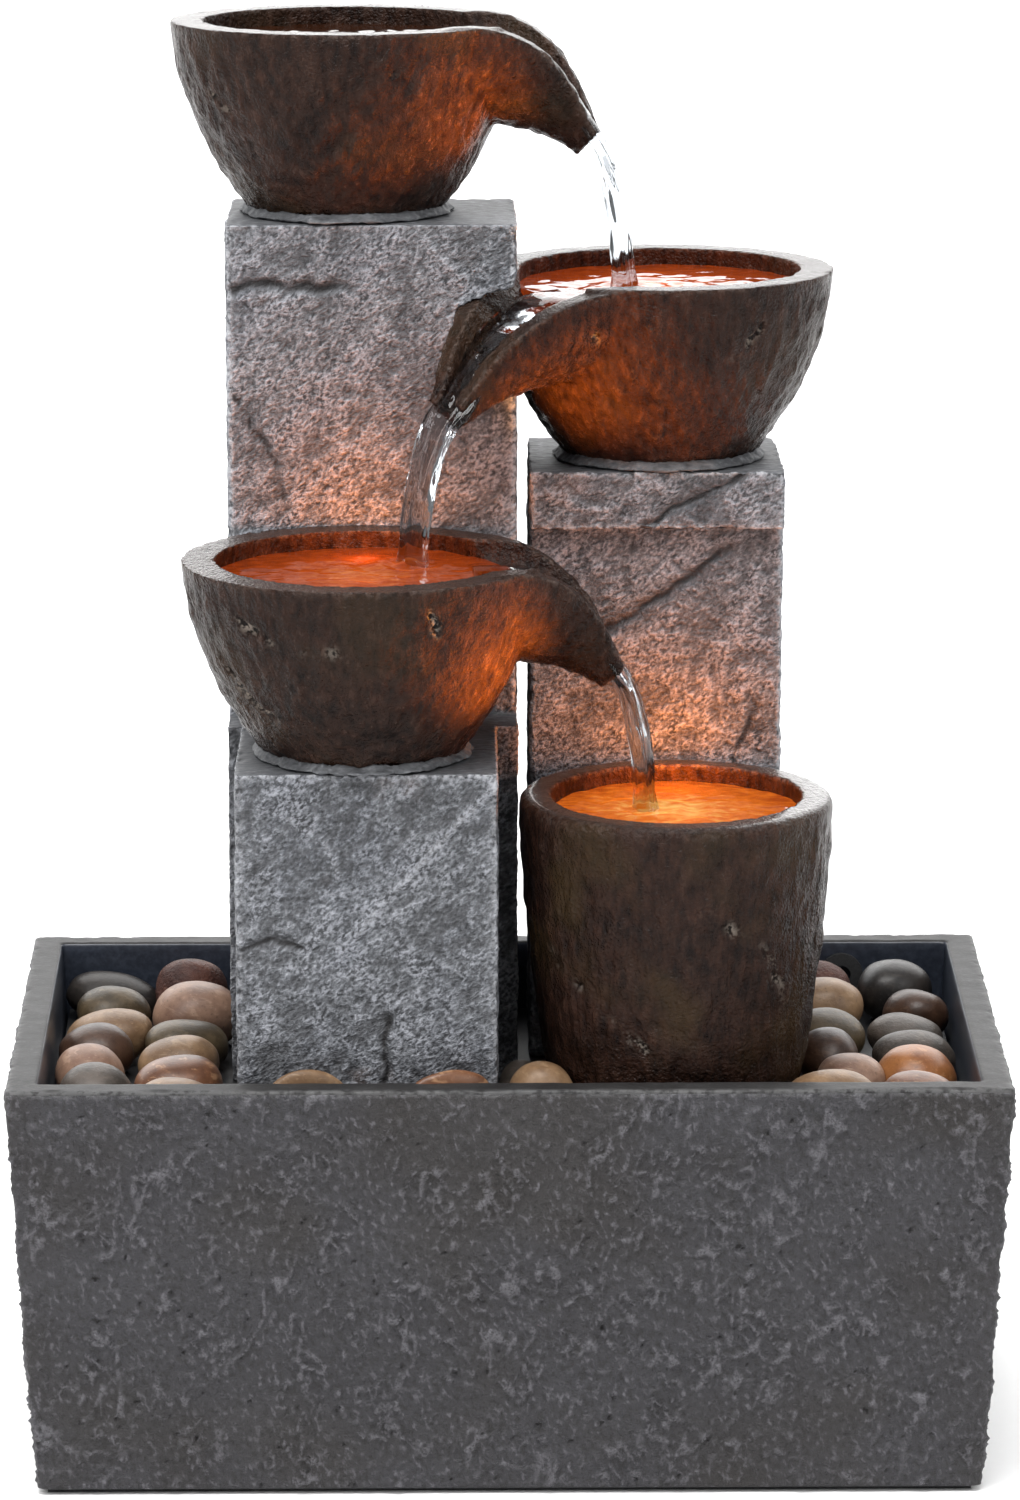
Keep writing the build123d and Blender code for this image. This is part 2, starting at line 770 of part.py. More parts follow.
roof_underside = tall_top - pillar_roof
nut_low = roof_underside - nut_height
barb_top = nut_low - 1
hose_low = pump_bottom + pump_height + 1
hose_high = barb_top - 1

with BuildPart() as feed_hose:
    with BuildSketch(Plane.XY.offset(hose_low)):
        with Locations((feed_x, feed_y)):
            Circle(hose_outer_radius)
            Circle(hose_inner_radius, mode=Mode.SUBTRACT)
    extrude(amount=hose_high - hose_low)
save(feed_hose, "feed_hose")

with BuildPart() as feed_nipple:
    disc(top_seat, bowl_floor, nipple_flange_radius, nipple_flange)
    disc(top_seat, bowl_floor + nipple_flange, nipple_stem_radius, nipple_spout)
    disc(top_seat, barb_top - tall_top, nipple_stem_radius, tall_top + bowl_floor - barb_top)
    disc(top_seat, barb_top - barb_length - tall_top, hose_inner_radius, barb_length)
    nipple_length = barb_length + tall_top - barb_top + bowl_floor + nipple_flange + nipple_spout
    nipple_low = barb_top - barb_length - tall_top
    disc(top_seat, nipple_low, nipple_bore_radius, nipple_length, Mode.SUBTRACT)
save(feed_nipple, "feed_nipple")

with BuildPart() as feed_nut:
    with BuildSketch(Plane.XY.offset(nut_low)):
        with Locations((feed_x, feed_y)):
            RegularPolygon(nut_across / 2, 6, major_radius=False)
            Circle(nipple_stem_radius, mode=Mode.SUBTRACT)
    extrude(amount=nut_height)
save(feed_nut, "feed_nut")

# ---- pump ----

pump_top = pump_bottom + pump_height
chamber_back = pump_front + chamber_length
well_back = chamber_back + well_length
pump_back = pump_front + pump_length
pocket_front = chamber_back + pump_shell
pocket_low = pump_bottom + pump_shell
bush_pocket = 2.0
duct_radius = 2.4
duct_step = 0.6  # the duct starts this far inside the chamber's round wall
cup_plug_radius = 1.5
cup_plug = 1.1
duct_z = rotor_z + chamber_radius - duct_radius - duct_step
rotor = (feed_x, rotor_z)


def along(y_front, y_back, radius, mode=Mode.ADD):
    """A round bar along the rotor's axis."""
    with BuildSketch(facing(y_front)) as circle:
        with Locations(rotor):
            Circle(radius)
    extrude(circle.sketch, amount=-(y_back - y_front), mode=mode)


def box_along(y_front, y_back, width, z_low, z_high, mode=Mode.ADD):
    """A square bar along Y, centred on the pump's x."""
    with BuildSketch(facing(y_front)) as outline:
        with Locations((feed_x, (z_low + z_high) / 2)):
            Rectangle(width, z_high - z_low)
    extrude(outline.sketch, amount=-(y_back - y_front), mode=mode)


cup_places = [
    (feed_x + side * (pump_width / 2 - 7), y)
    for side in (-1, 1)
    for y in (chamber_back + 5, pump_back - 7)
]

with BuildPart() as pump_body:
    box_along(pump_front, pump_back, pump_width, pump_bottom, pump_top)
    fillet(pump_body.edges().filter_by(Axis.Y), 3)
    spigot_top = pump_top + barb_length
    with BuildSketch(Plane.XY.offset(pump_top)):
        with Locations((feed_x, feed_y)):
            Circle(hose_inner_radius)
    extrude(amount=barb_length)
    along(pump_front, chamber_back, chamber_radius, Mode.SUBTRACT)
    along(pump_front, pump_front + seal_thickness, chamber_radius + 2, Mode.SUBTRACT)
    with BuildSketch(facing(pocket_front)):
        with Locations((feed_x, pocket_low + pocket_height / 2)):
            Rectangle(pocket_width, pocket_height)
        with Locations(rotor):
            Circle(well_radius + well_wall, mode=Mode.SUBTRACT)
    extrude(amount=-(pump_back - pocket_front), mode=Mode.SUBTRACT)
    along(chamber_back, well_back, well_radius, Mode.SUBTRACT)
    along(well_back, well_back + bush_pocket, bush_radius, Mode.SUBTRACT)
    with BuildSketch(facing(chamber_back - 1)):
        with Locations((feed_x, duct_z)):
            Circle(duct_radius)
    extrude(amount=-(feed_y - chamber_back + 1), mode=Mode.SUBTRACT)
    drill([(feed_x, feed_y)], nipple_bore_radius, duct_z, spigot_top)
    drill(cup_places, cup_plug_radius + fit_gap, pump_bottom, pump_bottom + cup_plug + fit_gap)
save(pump_body, "pump_body")

core_gap = 0.3
core_leg_in = 2 * (well_radius + well_wall + core_gap)
core_width = pocket_width - 6
core_rise = 2.5  # room for the coil under the core's bridge
core_low = pocket_low + core_rise
core_bridge = 4.0
core_front = pocket_front + 4
core_back = well_back - 2
coil_thickness = 2.0
coil_width = core_leg_in - 2 * core_gap

with BuildPart() as stator_core:
    core_high = pocket_low + pocket_height - 1
    box_along(core_front, core_back, core_width, core_low, core_high)
    box_along(core_front, core_back, core_leg_in, core_low + core_bridge, core_high, Mode.SUBTRACT)
save(stator_core, "stator_core")

with BuildPart() as coil:
    coil_low = core_low - coil_thickness - fit_gap
    coil_high = core_low + core_bridge + coil_thickness + fit_gap
    coil_front = core_front - coil_thickness
    coil_back = core_back + coil_thickness
    box_along(coil_front, coil_back, coil_width, coil_low, coil_high)
    tunnel_low = core_low - fit_gap
    tunnel_high = core_low + core_bridge + fit_gap
    box_along(
        core_front - fit_gap,
        core_back + fit_gap,
        coil_width,
        tunnel_low,
        tunnel_high,
        Mode.SUBTRACT,
    )
save(coil, "coil")

with BuildPart() as motor_cover:
    with BuildSketch(facing(pump_back - cover_thickness)):
        with Locations((feed_x, pocket_low + pocket_height / 2)):
            Rectangle(pocket_width - 2 * fit_gap, pocket_height - 2 * fit_gap)
        with Locations(rotor):
            Circle(well_radius + well_wall + fit_gap, mode=Mode.SUBTRACT)
    extrude(amount=-cover_thickness)
save(motor_cover, "motor_cover")

cover_front = pump_front - cover_thickness
bush_front = pump_front - bush_pocket
inlet_circle = 6.5
inlet_radius = 2.2
inlet_count = 5

with BuildPart() as chamber_cover:
    cover_half = chamber_radius + 3
    box_along(cover_front, pump_front, 2 * cover_half, rotor_z - cover_half, rotor_z + cover_half)
    fillet(chamber_cover.edges().filter_by(Axis.Y), 3)
    with BuildSketch(facing(cover_front)):
        with Locations(rotor):
            with PolarLocations(inlet_circle, inlet_count):
                Circle(inlet_radius)
    extrude(amount=-cover_thickness, mode=Mode.SUBTRACT)
    along(bush_front, pump_front, bush_radius, Mode.SUBTRACT)
save(chamber_cover, "chamber_cover")

with BuildPart() as chamber_seal:
    along(pump_front, pump_front + seal_thickness, chamber_radius + 2 - running_gap)
    along(pump_front, pump_front + seal_thickness, chamber_radius + seal_inset, Mode.SUBTRACT)
save(chamber_seal, "chamber_seal")

bush_out = 0.8  # how far a bush stands out of its pocket
end_play = 0.4
magnet_back = well_back - 2
magnet_front = chamber_back + 2
impeller_front = pump_front + bush_out + end_play

with BuildPart() as front_bush:
    along(bush_front, pump_front + bush_out, bush_radius - running_gap)
    along(bush_front, pump_front + bush_out, shaft_radius + shaft_gap, Mode.SUBTRACT)
save(front_bush, "front_bush")

with BuildPart() as rear_bush:
    rear_bush_front = magnet_back + end_play
    along(rear_bush_front, well_back + bush_pocket, bush_radius - running_gap)
    along(rear_bush_front, well_back + bush_pocket, shaft_radius + shaft_gap, Mode.SUBTRACT)
save(rear_bush, "rear_bush")

with BuildPart() as shaft:
    along(bush_front + shaft_short, well_back + bush_pocket - shaft_short, shaft_radius)
save(shaft, "shaft")

with BuildPart() as rotor_magnet:
    along(magnet_front, magnet_back, magnet_radius)
    along(magnet_front, magnet_back, shaft_radius + running_gap, Mode.SUBTRACT)
save(rotor_magnet, "rotor_magnet")

with BuildPart() as impeller:
    along(chamber_back + end_play, magnet_front, magnet_radius)
    along(impeller_front, chamber_back + end_play, hub_radius)
    with BuildSketch(facing(impeller_front)):
        with Locations(rotor):
            with PolarLocations((blade_radius + blade_root) / 2, blade_count):
                Rectangle(blade_radius - blade_root, blade_thickness)
    extrude(amount=-(chamber_back - end_play - impeller_front))
    along(impeller_front, magnet_front, shaft_radius + running_gap, Mode.SUBTRACT)
save(impeller, "impeller")

strainer_back = pump_front + strainer_overlap
strainer_front = strainer_back - strainer_length
strainer_inner = pump_width + 2 * strainer_gap
dial_places = 4

with BuildPart() as strainer_cover:
    out_low = pump_bottom - strainer_gap - strainer_wall
    out_high = pump_top + strainer_gap + strainer_wall
    strainer_width = strainer_inner + 2 * strainer_wall
    box_along(strainer_front, strainer_back, strainer_width, out_low, out_high)
    fillet(strainer_cover.edges().filter_by(Axis.Y), 4)
    in_front = strainer_front + strainer_wall
    in_low = pump_bottom - strainer_gap
    in_high = pump_top + strainer_gap
    box_along(in_front, strainer_back, strainer_inner, in_low, in_high, Mode.SUBTRACT)
    with BuildSketch(facing(strainer_front)):
        with Locations(rotor):
            Circle(dial_stem_radius + running_gap)
            with PolarLocations(dial_port_circle, dial_places):
                Circle(dial_port_radius)
            with GridLocations(2 * (dial_radius + 5), 8, 2, 4):
                SlotOverall(5, 2)
    extrude(amount=-strainer_wall, mode=Mode.SUBTRACT)
save(strainer_cover, "strainer_cover")

with BuildPart() as flow_dial:
    dial_back = strainer_front - strainer_gap
    dial_front = dial_back - dial_thickness
    along(dial_front, dial_back, dial_radius)
    along(dial_back, in_front + strainer_gap, dial_stem_radius)
    along(in_front + strainer_gap, in_front + strainer_gap + 1, dial_stem_radius + dial_stem_head)
    with BuildSketch(facing(dial_front)):
        with Locations(rotor):
            with PolarLocations(dial_port_circle, dial_places):
                Circle(dial_port_radius)
    extrude(amount=-dial_thickness, mode=Mode.SUBTRACT)
    box_along(dial_front - 2, dial_front, 3, rotor_z - 4, rotor_z + 4)
save(flow_dial, "flow_dial")

with BuildPart() as suction_cups:
    cup_low = floor_z + cup_gap
    for x, y in cup_places:
        with BuildSketch(Plane(origin=(x, y, cup_low), x_dir=(1, 0, 0), z_dir=(0, -1, 0))):
            Polygon(
                (0, cup_hollow),
                (cup_radius, 0),
                (cup_radius + cup_edge / 2, cup_edge),
                (cup_neck, cup_skirt),
                (cup_neck, cup_height),
                (cup_plug_radius, cup_height),
                (cup_plug_radius, cup_height + cup_plug),
                (0, cup_height + cup_plug),
                align=None,
            )
        revolve(axis=Axis((x, y, cup_low), (0, 0, 1)))
save(suction_cups, "suction_cups")

# ---- pebbles ----


def make_stones(stones):
    """Rounded river pebbles lying on the deck, as separate solids."""
    return [
        Pos(x, y, deck_top + pebble_gap + high)
        * Rot(0, 0, turn)
        * scale(Sphere(1), by=(length, width, high))
        for x, y, length, width, high, turn in stones
    ]


for side, stones in (("left", left_stones), ("right", right_stones), ("front", front_stones)):
    solids = make_stones(stones)
    with BuildPart() as pebbles:
        add(solids)
    save(pebbles, f"pebbles_{side}")
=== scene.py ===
import bmesh
import bpy
import json
import math
import numpy as np
from mathutils import Euler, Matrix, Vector


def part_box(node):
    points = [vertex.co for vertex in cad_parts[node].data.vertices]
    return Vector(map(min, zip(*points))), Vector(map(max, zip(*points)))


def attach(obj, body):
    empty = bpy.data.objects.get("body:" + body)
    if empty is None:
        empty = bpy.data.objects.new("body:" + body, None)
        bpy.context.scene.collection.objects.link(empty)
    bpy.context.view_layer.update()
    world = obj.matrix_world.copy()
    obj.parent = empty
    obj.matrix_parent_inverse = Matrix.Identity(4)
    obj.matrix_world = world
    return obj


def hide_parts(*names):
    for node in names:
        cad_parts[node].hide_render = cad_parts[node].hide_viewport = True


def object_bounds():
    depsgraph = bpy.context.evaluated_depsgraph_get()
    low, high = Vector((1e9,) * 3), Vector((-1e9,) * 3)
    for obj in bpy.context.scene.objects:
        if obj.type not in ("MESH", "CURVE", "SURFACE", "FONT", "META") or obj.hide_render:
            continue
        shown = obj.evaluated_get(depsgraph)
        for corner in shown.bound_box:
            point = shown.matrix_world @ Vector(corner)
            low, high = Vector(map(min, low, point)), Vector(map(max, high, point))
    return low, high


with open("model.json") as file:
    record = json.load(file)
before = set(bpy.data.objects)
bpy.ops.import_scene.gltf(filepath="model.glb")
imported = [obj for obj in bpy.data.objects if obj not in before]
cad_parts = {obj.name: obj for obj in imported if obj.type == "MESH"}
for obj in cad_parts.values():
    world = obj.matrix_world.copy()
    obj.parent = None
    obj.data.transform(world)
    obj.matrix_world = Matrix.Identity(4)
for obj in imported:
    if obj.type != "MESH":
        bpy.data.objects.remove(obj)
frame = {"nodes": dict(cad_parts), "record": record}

cadLow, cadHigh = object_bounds()
mm = 0.001
nodes = frame["nodes"]
print("frame loaded")

# one table of random slopes that all the noise on points shares
randomTable = np.random.RandomState(7)
cornerOrder = np.tile(randomTable.permutation(256), 2)
cornerSlopes = randomTable.normal(size=(256, 3))
cornerSlopes /= np.linalg.norm(cornerSlopes, axis=1)[:, None]


def waves(points, size, seed=0):
    # smooth noise from -1 to 1, with lumps about size wide; size may be one number or one per axis
    p = points / np.array(size, float) + seed * 17.31
    cell = np.floor(p).astype(int)
    f = p - cell
    ease = f * f * f * (f * (f * 6 - 15) + 10)
    total = 0
    for dx in (0, 1):
        for dy in (0, 1):
            for dz in (0, 1):
                h = cornerOrder[(cell[:, 0] + dx) & 255]
                h = cornerOrder[(h + cell[:, 1] + dy) & 255]
                h = cornerOrder[(h + cell[:, 2] + dz) & 255]
                slope = cornerSlopes[h]
                away = f - (dx, dy, dz)
                wx = ease[:, 0] if dx else 1 - ease[:, 0]
                wy = ease[:, 1] if dy else 1 - ease[:, 1]
                wz = ease[:, 2] if dz else 1 - ease[:, 2]
                total = total + (slope * away).sum(1) * wx * wy * wz
    return total * 1.6


def rough(points, size, seed=0, octaves=3):
    # several sizes of noise added up
    total, strength = 0, 1.0
    size = np.array(size, float)
    for i in range(octaves):
        total = total + waves(points, size, seed + i) * strength
        size = size / 2.1
        strength = strength * 0.5
    return total


def ridges(points, size, seed=0):
    # thin crests where the noise crosses zero: 1 on a crest, 0 away from it
    return np.clip(1 - np.abs(waves(points, size, seed)) * 2.5, 0, 1)


def smoothStep(low, high, x):
    t = np.clip((x - low) / (high - low), 0, 1)
    return t * t * (3 - 2 * t)


def addObject(name, points, faces, body):
    mesh = bpy.data.meshes.new(name)
    points = np.asarray(points, np.float32)
    faces = [np.asarray(f) for f in faces if len(f)]
    sizes = np.concatenate([np.full(len(f), f.shape[1]) for f in faces])
    corners = np.concatenate([f.reshape(-1) for f in faces]).astype(np.int32)
    mesh.vertices.add(len(points))
    mesh.vertices.foreach_set("co", points.reshape(-1))
    mesh.loops.add(len(corners))
    mesh.loops.foreach_set("vertex_index", corners)
    mesh.polygons.add(len(sizes))
    starts = np.concatenate([[0], np.cumsum(sizes)[:-1]]).astype(np.int32)
    mesh.polygons.foreach_set("loop_start", starts)
    mesh.polygons.foreach_set("use_smooth", np.full(len(sizes), True))
    mesh.update(calc_edges=True)
    mesh.validate()
    piece = bpy.data.objects.new(name, mesh)
    bpy.context.scene.collection.objects.link(piece)
    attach(piece, body)
    return piece


def setAttribute(piece, name, values):
    layer = piece.data.attributes.new(name, "FLOAT", "POINT")
    layer.data.foreach_set("value", np.asarray(values, np.float32))


class Value:
    # a number that changes over the surface: + - * / and ** on it add Math nodes
    def __init__(self, finish, socket):
        self.finish, self.socket = finish, socket

    def step(self, operation, first, second=None, clamp=False):
        inputs = {0: first} if second is None else {0: first, 1: second}
        made = self.finish.node("ShaderNodeMath", {"operation": operation, "use_clamp": clamp}, inputs)
        return Value(self.finish, made.outputs[0])

    def __add__(self, other):
        return self.step("ADD", self, other)

    __radd__ = __add__

    def __mul__(self, other):
        return self.step("MULTIPLY", self, other)

    __rmul__ = __mul__

    def __sub__(self, other):
        return self.step("SUBTRACT", self, other)

    def __rsub__(self, other):
        return self.step("SUBTRACT", other, self)

    def __truediv__(self, other):
        return self.step("DIVIDE", self, other)

    def __pow__(self, other):
        return self.step("POWER", self, other)

    def clamped(self):
        return self.step("MULTIPLY", self, 1.0, clamp=True)

    def between(self, low, high):
        # 0 at low, 1 at high, eased in between
        made = self.finish.node(
            "ShaderNodeMapRange",
            {"interpolation_type": "SMOOTHSTEP", "clamp": True},
            {"Value": self, "From Min": low, "From Max": high},
        )
        return Value(self.finish, made.outputs["Result"])


class Finish:
    def __init__(self, name):
        self.material = bpy.data.materials.new(name)
        self.material.use_nodes = True
        self.tree = self.material.node_tree
        self.tree.nodes.clear()
        self.output = self.tree.nodes.new("ShaderNodeOutputMaterial")
        self.shader = self.node("ShaderNodeBsdfPrincipled")
        self.tree.links.new(self.shader.outputs[0], self.output.inputs["Surface"])
        self.place = self.node("ShaderNodeTexCoord").outputs["Object"]

    def node(self, kind, settings={}, inputs={}):
        made = self.tree.nodes.new(kind)
        for key, value in settings.items():
            if key == "stops":
                while len(made.color_ramp.elements) < len(value):
                    made.color_ramp.elements.new(0.5)
                for element, (position, color) in zip(made.color_ramp.elements, value):
                    element.position = position
                    element.color = (*color, 1)
            else:
                setattr(made, key, value)
        self.fill(made, inputs)
        return made

    def fill(self, made, inputs):
        for key, value in inputs.items():
            socket = made.inputs[key]
            if isinstance(value, Value):
                value = value.socket
            if isinstance(value, bpy.types.NodeSocket):
                self.tree.links.new(value, socket)
            elif socket.type == "RGBA":
                socket.default_value = (*value, 1)
            else:
                socket.default_value = value

    def stretched(self, direction, keep):
        # coordinates pressed together along a direction, so that noise runs in streaks along it
        d = Vector(direction).normalized()
        dot = self.node("ShaderNodeVectorMath", {"operation": "DOT_PRODUCT"}, {0: self.place, 1: tuple(d)})
        back = self.node(
            "ShaderNodeVectorMath",
            {"operation": "SCALE"},
            {0: tuple(d * (1 - keep)), "Scale": dot.outputs["Value"]},
        )
        done = self.node(
            "ShaderNodeVectorMath", {"operation": "SUBTRACT"}, {0: self.place, 1: back.outputs[0]}
        )
        return done.outputs[0]

    def noise(self, size, detail=3.0, roughness=0.55, place=None, distortion=0.0, offset=0.0):
        made = self.node(
            "ShaderNodeTexNoise",
            {"noise_dimensions": "4D"},
            {
                "Vector": place or self.place,
                "W": offset,
                "Scale": 1 / size,
                "Detail": detail,
                "Roughness": roughness,
                "Distortion": distortion,
            },
        )
        return Value(self, made.outputs["Fac"])

    def attribute(self, name):
        made = self.node("ShaderNodeAttribute", {"attribute_name": name})
        return Value(self, made.outputs["Fac"])

    def ramp(self, value, stops):
        return self.node("ShaderNodeValToRGB", {"stops": stops}, {"Fac": value}).outputs["Color"]

    def mix(self, amount, first, second, blend="MIX"):
        made = self.node(
            "ShaderNodeMix", {"data_type": "RGBA", "blend_type": blend}, {0: amount, 6: first, 7: second}
        )
        return made.outputs[2]

    def bump(self, height, distance, strength=1.0):
        made = self.node(
            "ShaderNodeBump", {}, {"Height": height, "Distance": distance, "Strength": strength}
        )
        self.tree.links.new(made.outputs[0], self.shader.inputs["Normal"])

    def feed(self, inputs):
        self.fill(self.shader, inputs)


def paint(piece, *finishes):
    piece.data.materials.clear()
    for finish in finishes:
        piece.data.materials.append(finish.material)


streakDirection = (0.72, 0.72, 0.55)  # the way the slate was split


def makePillarSlate(name, warmth):
    f = Finish(name)
    streak = f.stretched(streakDirection, 0.32)
    grain = f.noise(0.85 * mm, 2.5, 0.6, streak)
    coarse = f.noise(2.9 * mm, 3.0, 0.6, streak, offset=3.0)
    patches = f.noise(28 * mm, 3.0, 0.55, offset=7.0)
    blue = f.noise(19 * mm, 2.0, 0.5, streak, offset=11.0).between(0.45, 0.65)
    rust = f.noise(24 * mm, 4.0, 0.62, f.stretched((1, 1, 0.15), 0.3), offset=warmth)
    rust = rust.between(0.60, 0.72)
    relief = f.attribute("relief")
    level = grain * 0.66 + coarse * 0.34 + (patches - 0.5) * 0.10
    base = f.ramp(
        level,
        [
            (0.37, (0.020, 0.021, 0.024)),
            (0.46, (0.072, 0.075, 0.083)),
            (0.56, (0.160, 0.167, 0.182)),
            (0.70, (0.36, 0.37, 0.40)),
        ],
    )
    base = f.mix(blue * 0.14, base, (0.38, 0.42, 0.52), "SOFT_LIGHT")
    base = f.mix(rust * 0.3, base, (0.15, 0.085, 0.055))
    silver = relief.between(0.45, 1.0) * grain.between(0.42, 0.60)
    base = f.mix(silver * 0.45, base, (0.36, 0.37, 0.41))
    low = relief.between(0.42, 0.05)
    base = f.mix(low * 0.55, base, (0.035, 0.035, 0.038))
    crack = f.attribute("crack")
    base = f.mix(crack.between(0.2, 0.8), base, (0.013, 0.012, 0.013))
    worn = f.attribute("worn")
    flakes = worn * f.noise(1.6 * mm, 2.0, 0.6, offset=4.0).between(0.38, 0.62)
    base = f.mix(flakes * 0.8, base, (0.50, 0.51, 0.54))
    f.feed({"Base Color": base, "Roughness": 0.66 - grain * 0.16, "Specular IOR Level": 0.4})
    f.bump(grain * 0.5 + coarse * 0.5, 1.9 * mm, 1.0)
    return f


def makeTopSlate(name):
    f = Finish(name)
    grain = f.noise(1.3 * mm, 3.0, 0.65, f.stretched((1, 0.1, 0), 0.4))
    base = f.ramp(
        grain, [(0.3, (0.035, 0.036, 0.040)), (0.55, (0.10, 0.104, 0.112)), (0.75, (0.23, 0.235, 0.25))]
    )
    f.feed({"Base Color": base, "Roughness": 0.62})
    f.bump(grain, 0.3 * mm, 0.7)
    return f


def makeBasinSlate():
    f = Finish("basinSlate")
    fine = f.noise(1.5 * mm, 2.0, 0.5, f.stretched((0.35, 0.3, -0.9), 0.6))
    dust = f.noise(0.6 * mm, 2.0, 0.6, offset=8.0)
    patches = f.noise(30 * mm, 3.0, 0.55, offset=5.0)
    tint = f.noise(55 * mm, 2.0, 0.5, offset=9.0).between(0.42, 0.6)
    crowd = f.noise(9 * mm, 2.0, 0.5, offset=15.0).between(0.25, 0.6)
    relief = f.attribute("relief")
    base = f.mix(patches.between(0.38, 0.62), (0.021, 0.018, 0.0175), (0.029, 0.0265, 0.0275))
    base = f.mix(tint * 0.5, base, (0.035, 0.035, 0.043))
    base = f.mix(fine.between(0.46, 0.36) * 0.55, base, (0.012, 0.011, 0.010))
    speck = fine.between(0.54, 0.74) * (0.35 + 0.65 * crowd)
    base = f.mix(speck * 0.62, base, (0.15, 0.145, 0.16))
    brushed = relief.between(0.22, 0.80) * dust.between(0.30, 0.56)
    base = f.mix(brushed * 0.50, base, (0.17, 0.165, 0.182))
    pit = f.attribute("pit")
    base = f.mix(pit.between(0.35, 0.8) * 0.85, base, (0.008, 0.007, 0.007))
    worn = f.attribute("worn") * f.noise(2.2 * mm, 3.0, 0.6, offset=2.0).between(0.38, 0.60)
    base = f.mix(worn * 0.6, base, (0.17, 0.17, 0.175))
    f.feed({"Base Color": base, "Roughness": 0.60 - relief * 0.10, "Specular IOR Level": 0.45})
    f.bump(fine * 0.6 + dust * 0.4, 1.9 * mm, 1.0)
    return f


def makeBasinRim():
    f = Finish("basinRim")
    fine = f.noise(1.4 * mm, 4.0, 0.65)
    smear = f.noise(14 * mm, 3.0, 0.6, offset=3.0)
    base = f.mix(smear.between(0.3, 0.7), (0.013, 0.012, 0.012), (0.026, 0.025, 0.025))
    base = f.mix(fine.between(0.5, 0.75) * 0.4, base, (0.07, 0.07, 0.074))
    worn = f.attribute("worn") * f.noise(2.6 * mm, 3.0, 0.6, offset=2.0).between(0.36, 0.56)
    base = f.mix(worn * 0.6, base, (0.15, 0.15, 0.15))
    f.feed({"Base Color": base, "Roughness": 0.55, "Specular IOR Level": 0.25})
    f.bump(fine, 0.2 * mm, 0.6)
    return f


def makeBasinInside():
    f = Finish("basinInside")
    fine = f.noise(1.8 * mm, 3.0, 0.6)
    base = f.mix(fine.between(0.3, 0.8), (0.016, 0.020, 0.030), (0.036, 0.043, 0.060))
    f.feed({"Base Color": base, "Roughness": 0.36, "Specular IOR Level": 0.5})
    f.bump(fine, 0.15 * mm, 0.4)
    return f


def makeBronze(name, gloss, gold=0.25, wet=0.04):
    f = Finish(name)
    streak = f.stretched((0, 0, 1), 0.4)
    hammer = f.noise(2.4 * mm, 3.0, 0.6, streak)
    fine = f.noise(0.9 * mm, 2.0, 0.6, offset=3.0)
    patch = f.noise(24 * mm, 3.0, 0.6, offset=6.0)
    relief = f.attribute("relief")
    base = f.ramp(
        hammer * 0.7 + patch * 0.3,
        [
            (0.38, (0.006, 0.0027, 0.0019)),
            (0.48, (0.016, 0.0072, 0.0046)),
            (0.58, (0.026, 0.0118, 0.0076)),
            (0.72, (0.048, 0.0225, 0.0145)),
        ],
    )
    olive = f.noise(33 * mm, 2.0, 0.5, offset=13.0).between(0.48, 0.66)
    base = f.mix(olive * gold, base, (0.036, 0.022, 0.008))
    base = f.mix(relief.between(0.5, 1.0) * fine.between(0.48, 0.66) * 0.22, base, (0.085, 0.050, 0.036))
    rim = f.attribute("rim")
    rubbed = f.mix(fine.between(0.3, 0.7), (0.016, 0.0095, 0.0075), (0.034, 0.023, 0.019))
    base = f.mix(rim * 0.75, base, rubbed)
    speck = f.attribute("crack") * f.noise(1.2 * mm, 2.0, 0.5, offset=8.0).between(0.46, 0.58)
    base = f.mix(f.attribute("crack").between(0.1, 0.6) * 0.8, base, (0.003, 0.002, 0.001))
    base = f.mix(speck * 0.8, base, (0.30, 0.25, 0.21))
    worn = f.attribute("worn") * f.noise(1.5 * mm, 2.0, 0.6, offset=2.0).between(0.42, 0.60)
    base = f.mix(worn * 0.35, base, (0.13, 0.095, 0.08))
    f.feed({
        "Base Color": base,
        "Roughness": gloss + hammer * 0.14 - rim * 0.08,
        "Specular IOR Level": 0.13,
        "Coat Weight": rim * wet,
        "Coat Roughness": 0.12,
    })
    f.bump(hammer * 0.4 + fine * 0.6, 1.7 * mm, 1.0)
    return f


def makeMortar():
    f = Finish("mortar")
    grain = f.noise(0.9 * mm, 3.0, 0.65)
    base = f.ramp(
        grain, [(0.32, (0.03, 0.031, 0.033)), (0.52, (0.12, 0.125, 0.135)), (0.70, (0.42, 0.44, 0.47))]
    )
    f.feed({"Base Color": base, "Roughness": 0.7})
    f.bump(grain, 0.4 * mm, 1.0)
    return f


def makePebble(name, dark, light, vein, veinAmount=0.4, gloss=0.28, lumpy=0.0, offset=0.0):
    f = Finish(name)
    cloud = f.noise(9 * mm, 4.0, 0.6, offset=offset)
    grain = f.noise(1.0 * mm, 3.0, 0.6, offset=offset + 2)
    bands = f.noise(5 * mm, 3.0, 0.6, f.stretched((0.3, 0.2, 1), 2.6), 0.6, offset + 5)
    base = f.mix(cloud.between(0.35, 0.65), dark, light)
    base = f.mix(bands.between(0.55, 0.68) * veinAmount, base, vein)
    base = f.mix(grain.between(0.58, 0.72) * 0.35, base, tuple(min(1, c * 1.5 + 0.02) for c in light))
    base = f.mix(grain.between(0.42, 0.30) * 0.45, base, tuple(c * 0.35 for c in dark))
    f.feed({
        "Base Color": base,
        "Roughness": gloss + 0.08 + grain * 0.18,
        "Specular IOR Level": 0.35,
        "Coat Weight": 0.04,
        "Coat Roughness": 0.25,
    })
    f.bump(grain * (0.35 + lumpy) + cloud * lumpy, (0.2 + lumpy) * mm, 0.6)
    return f


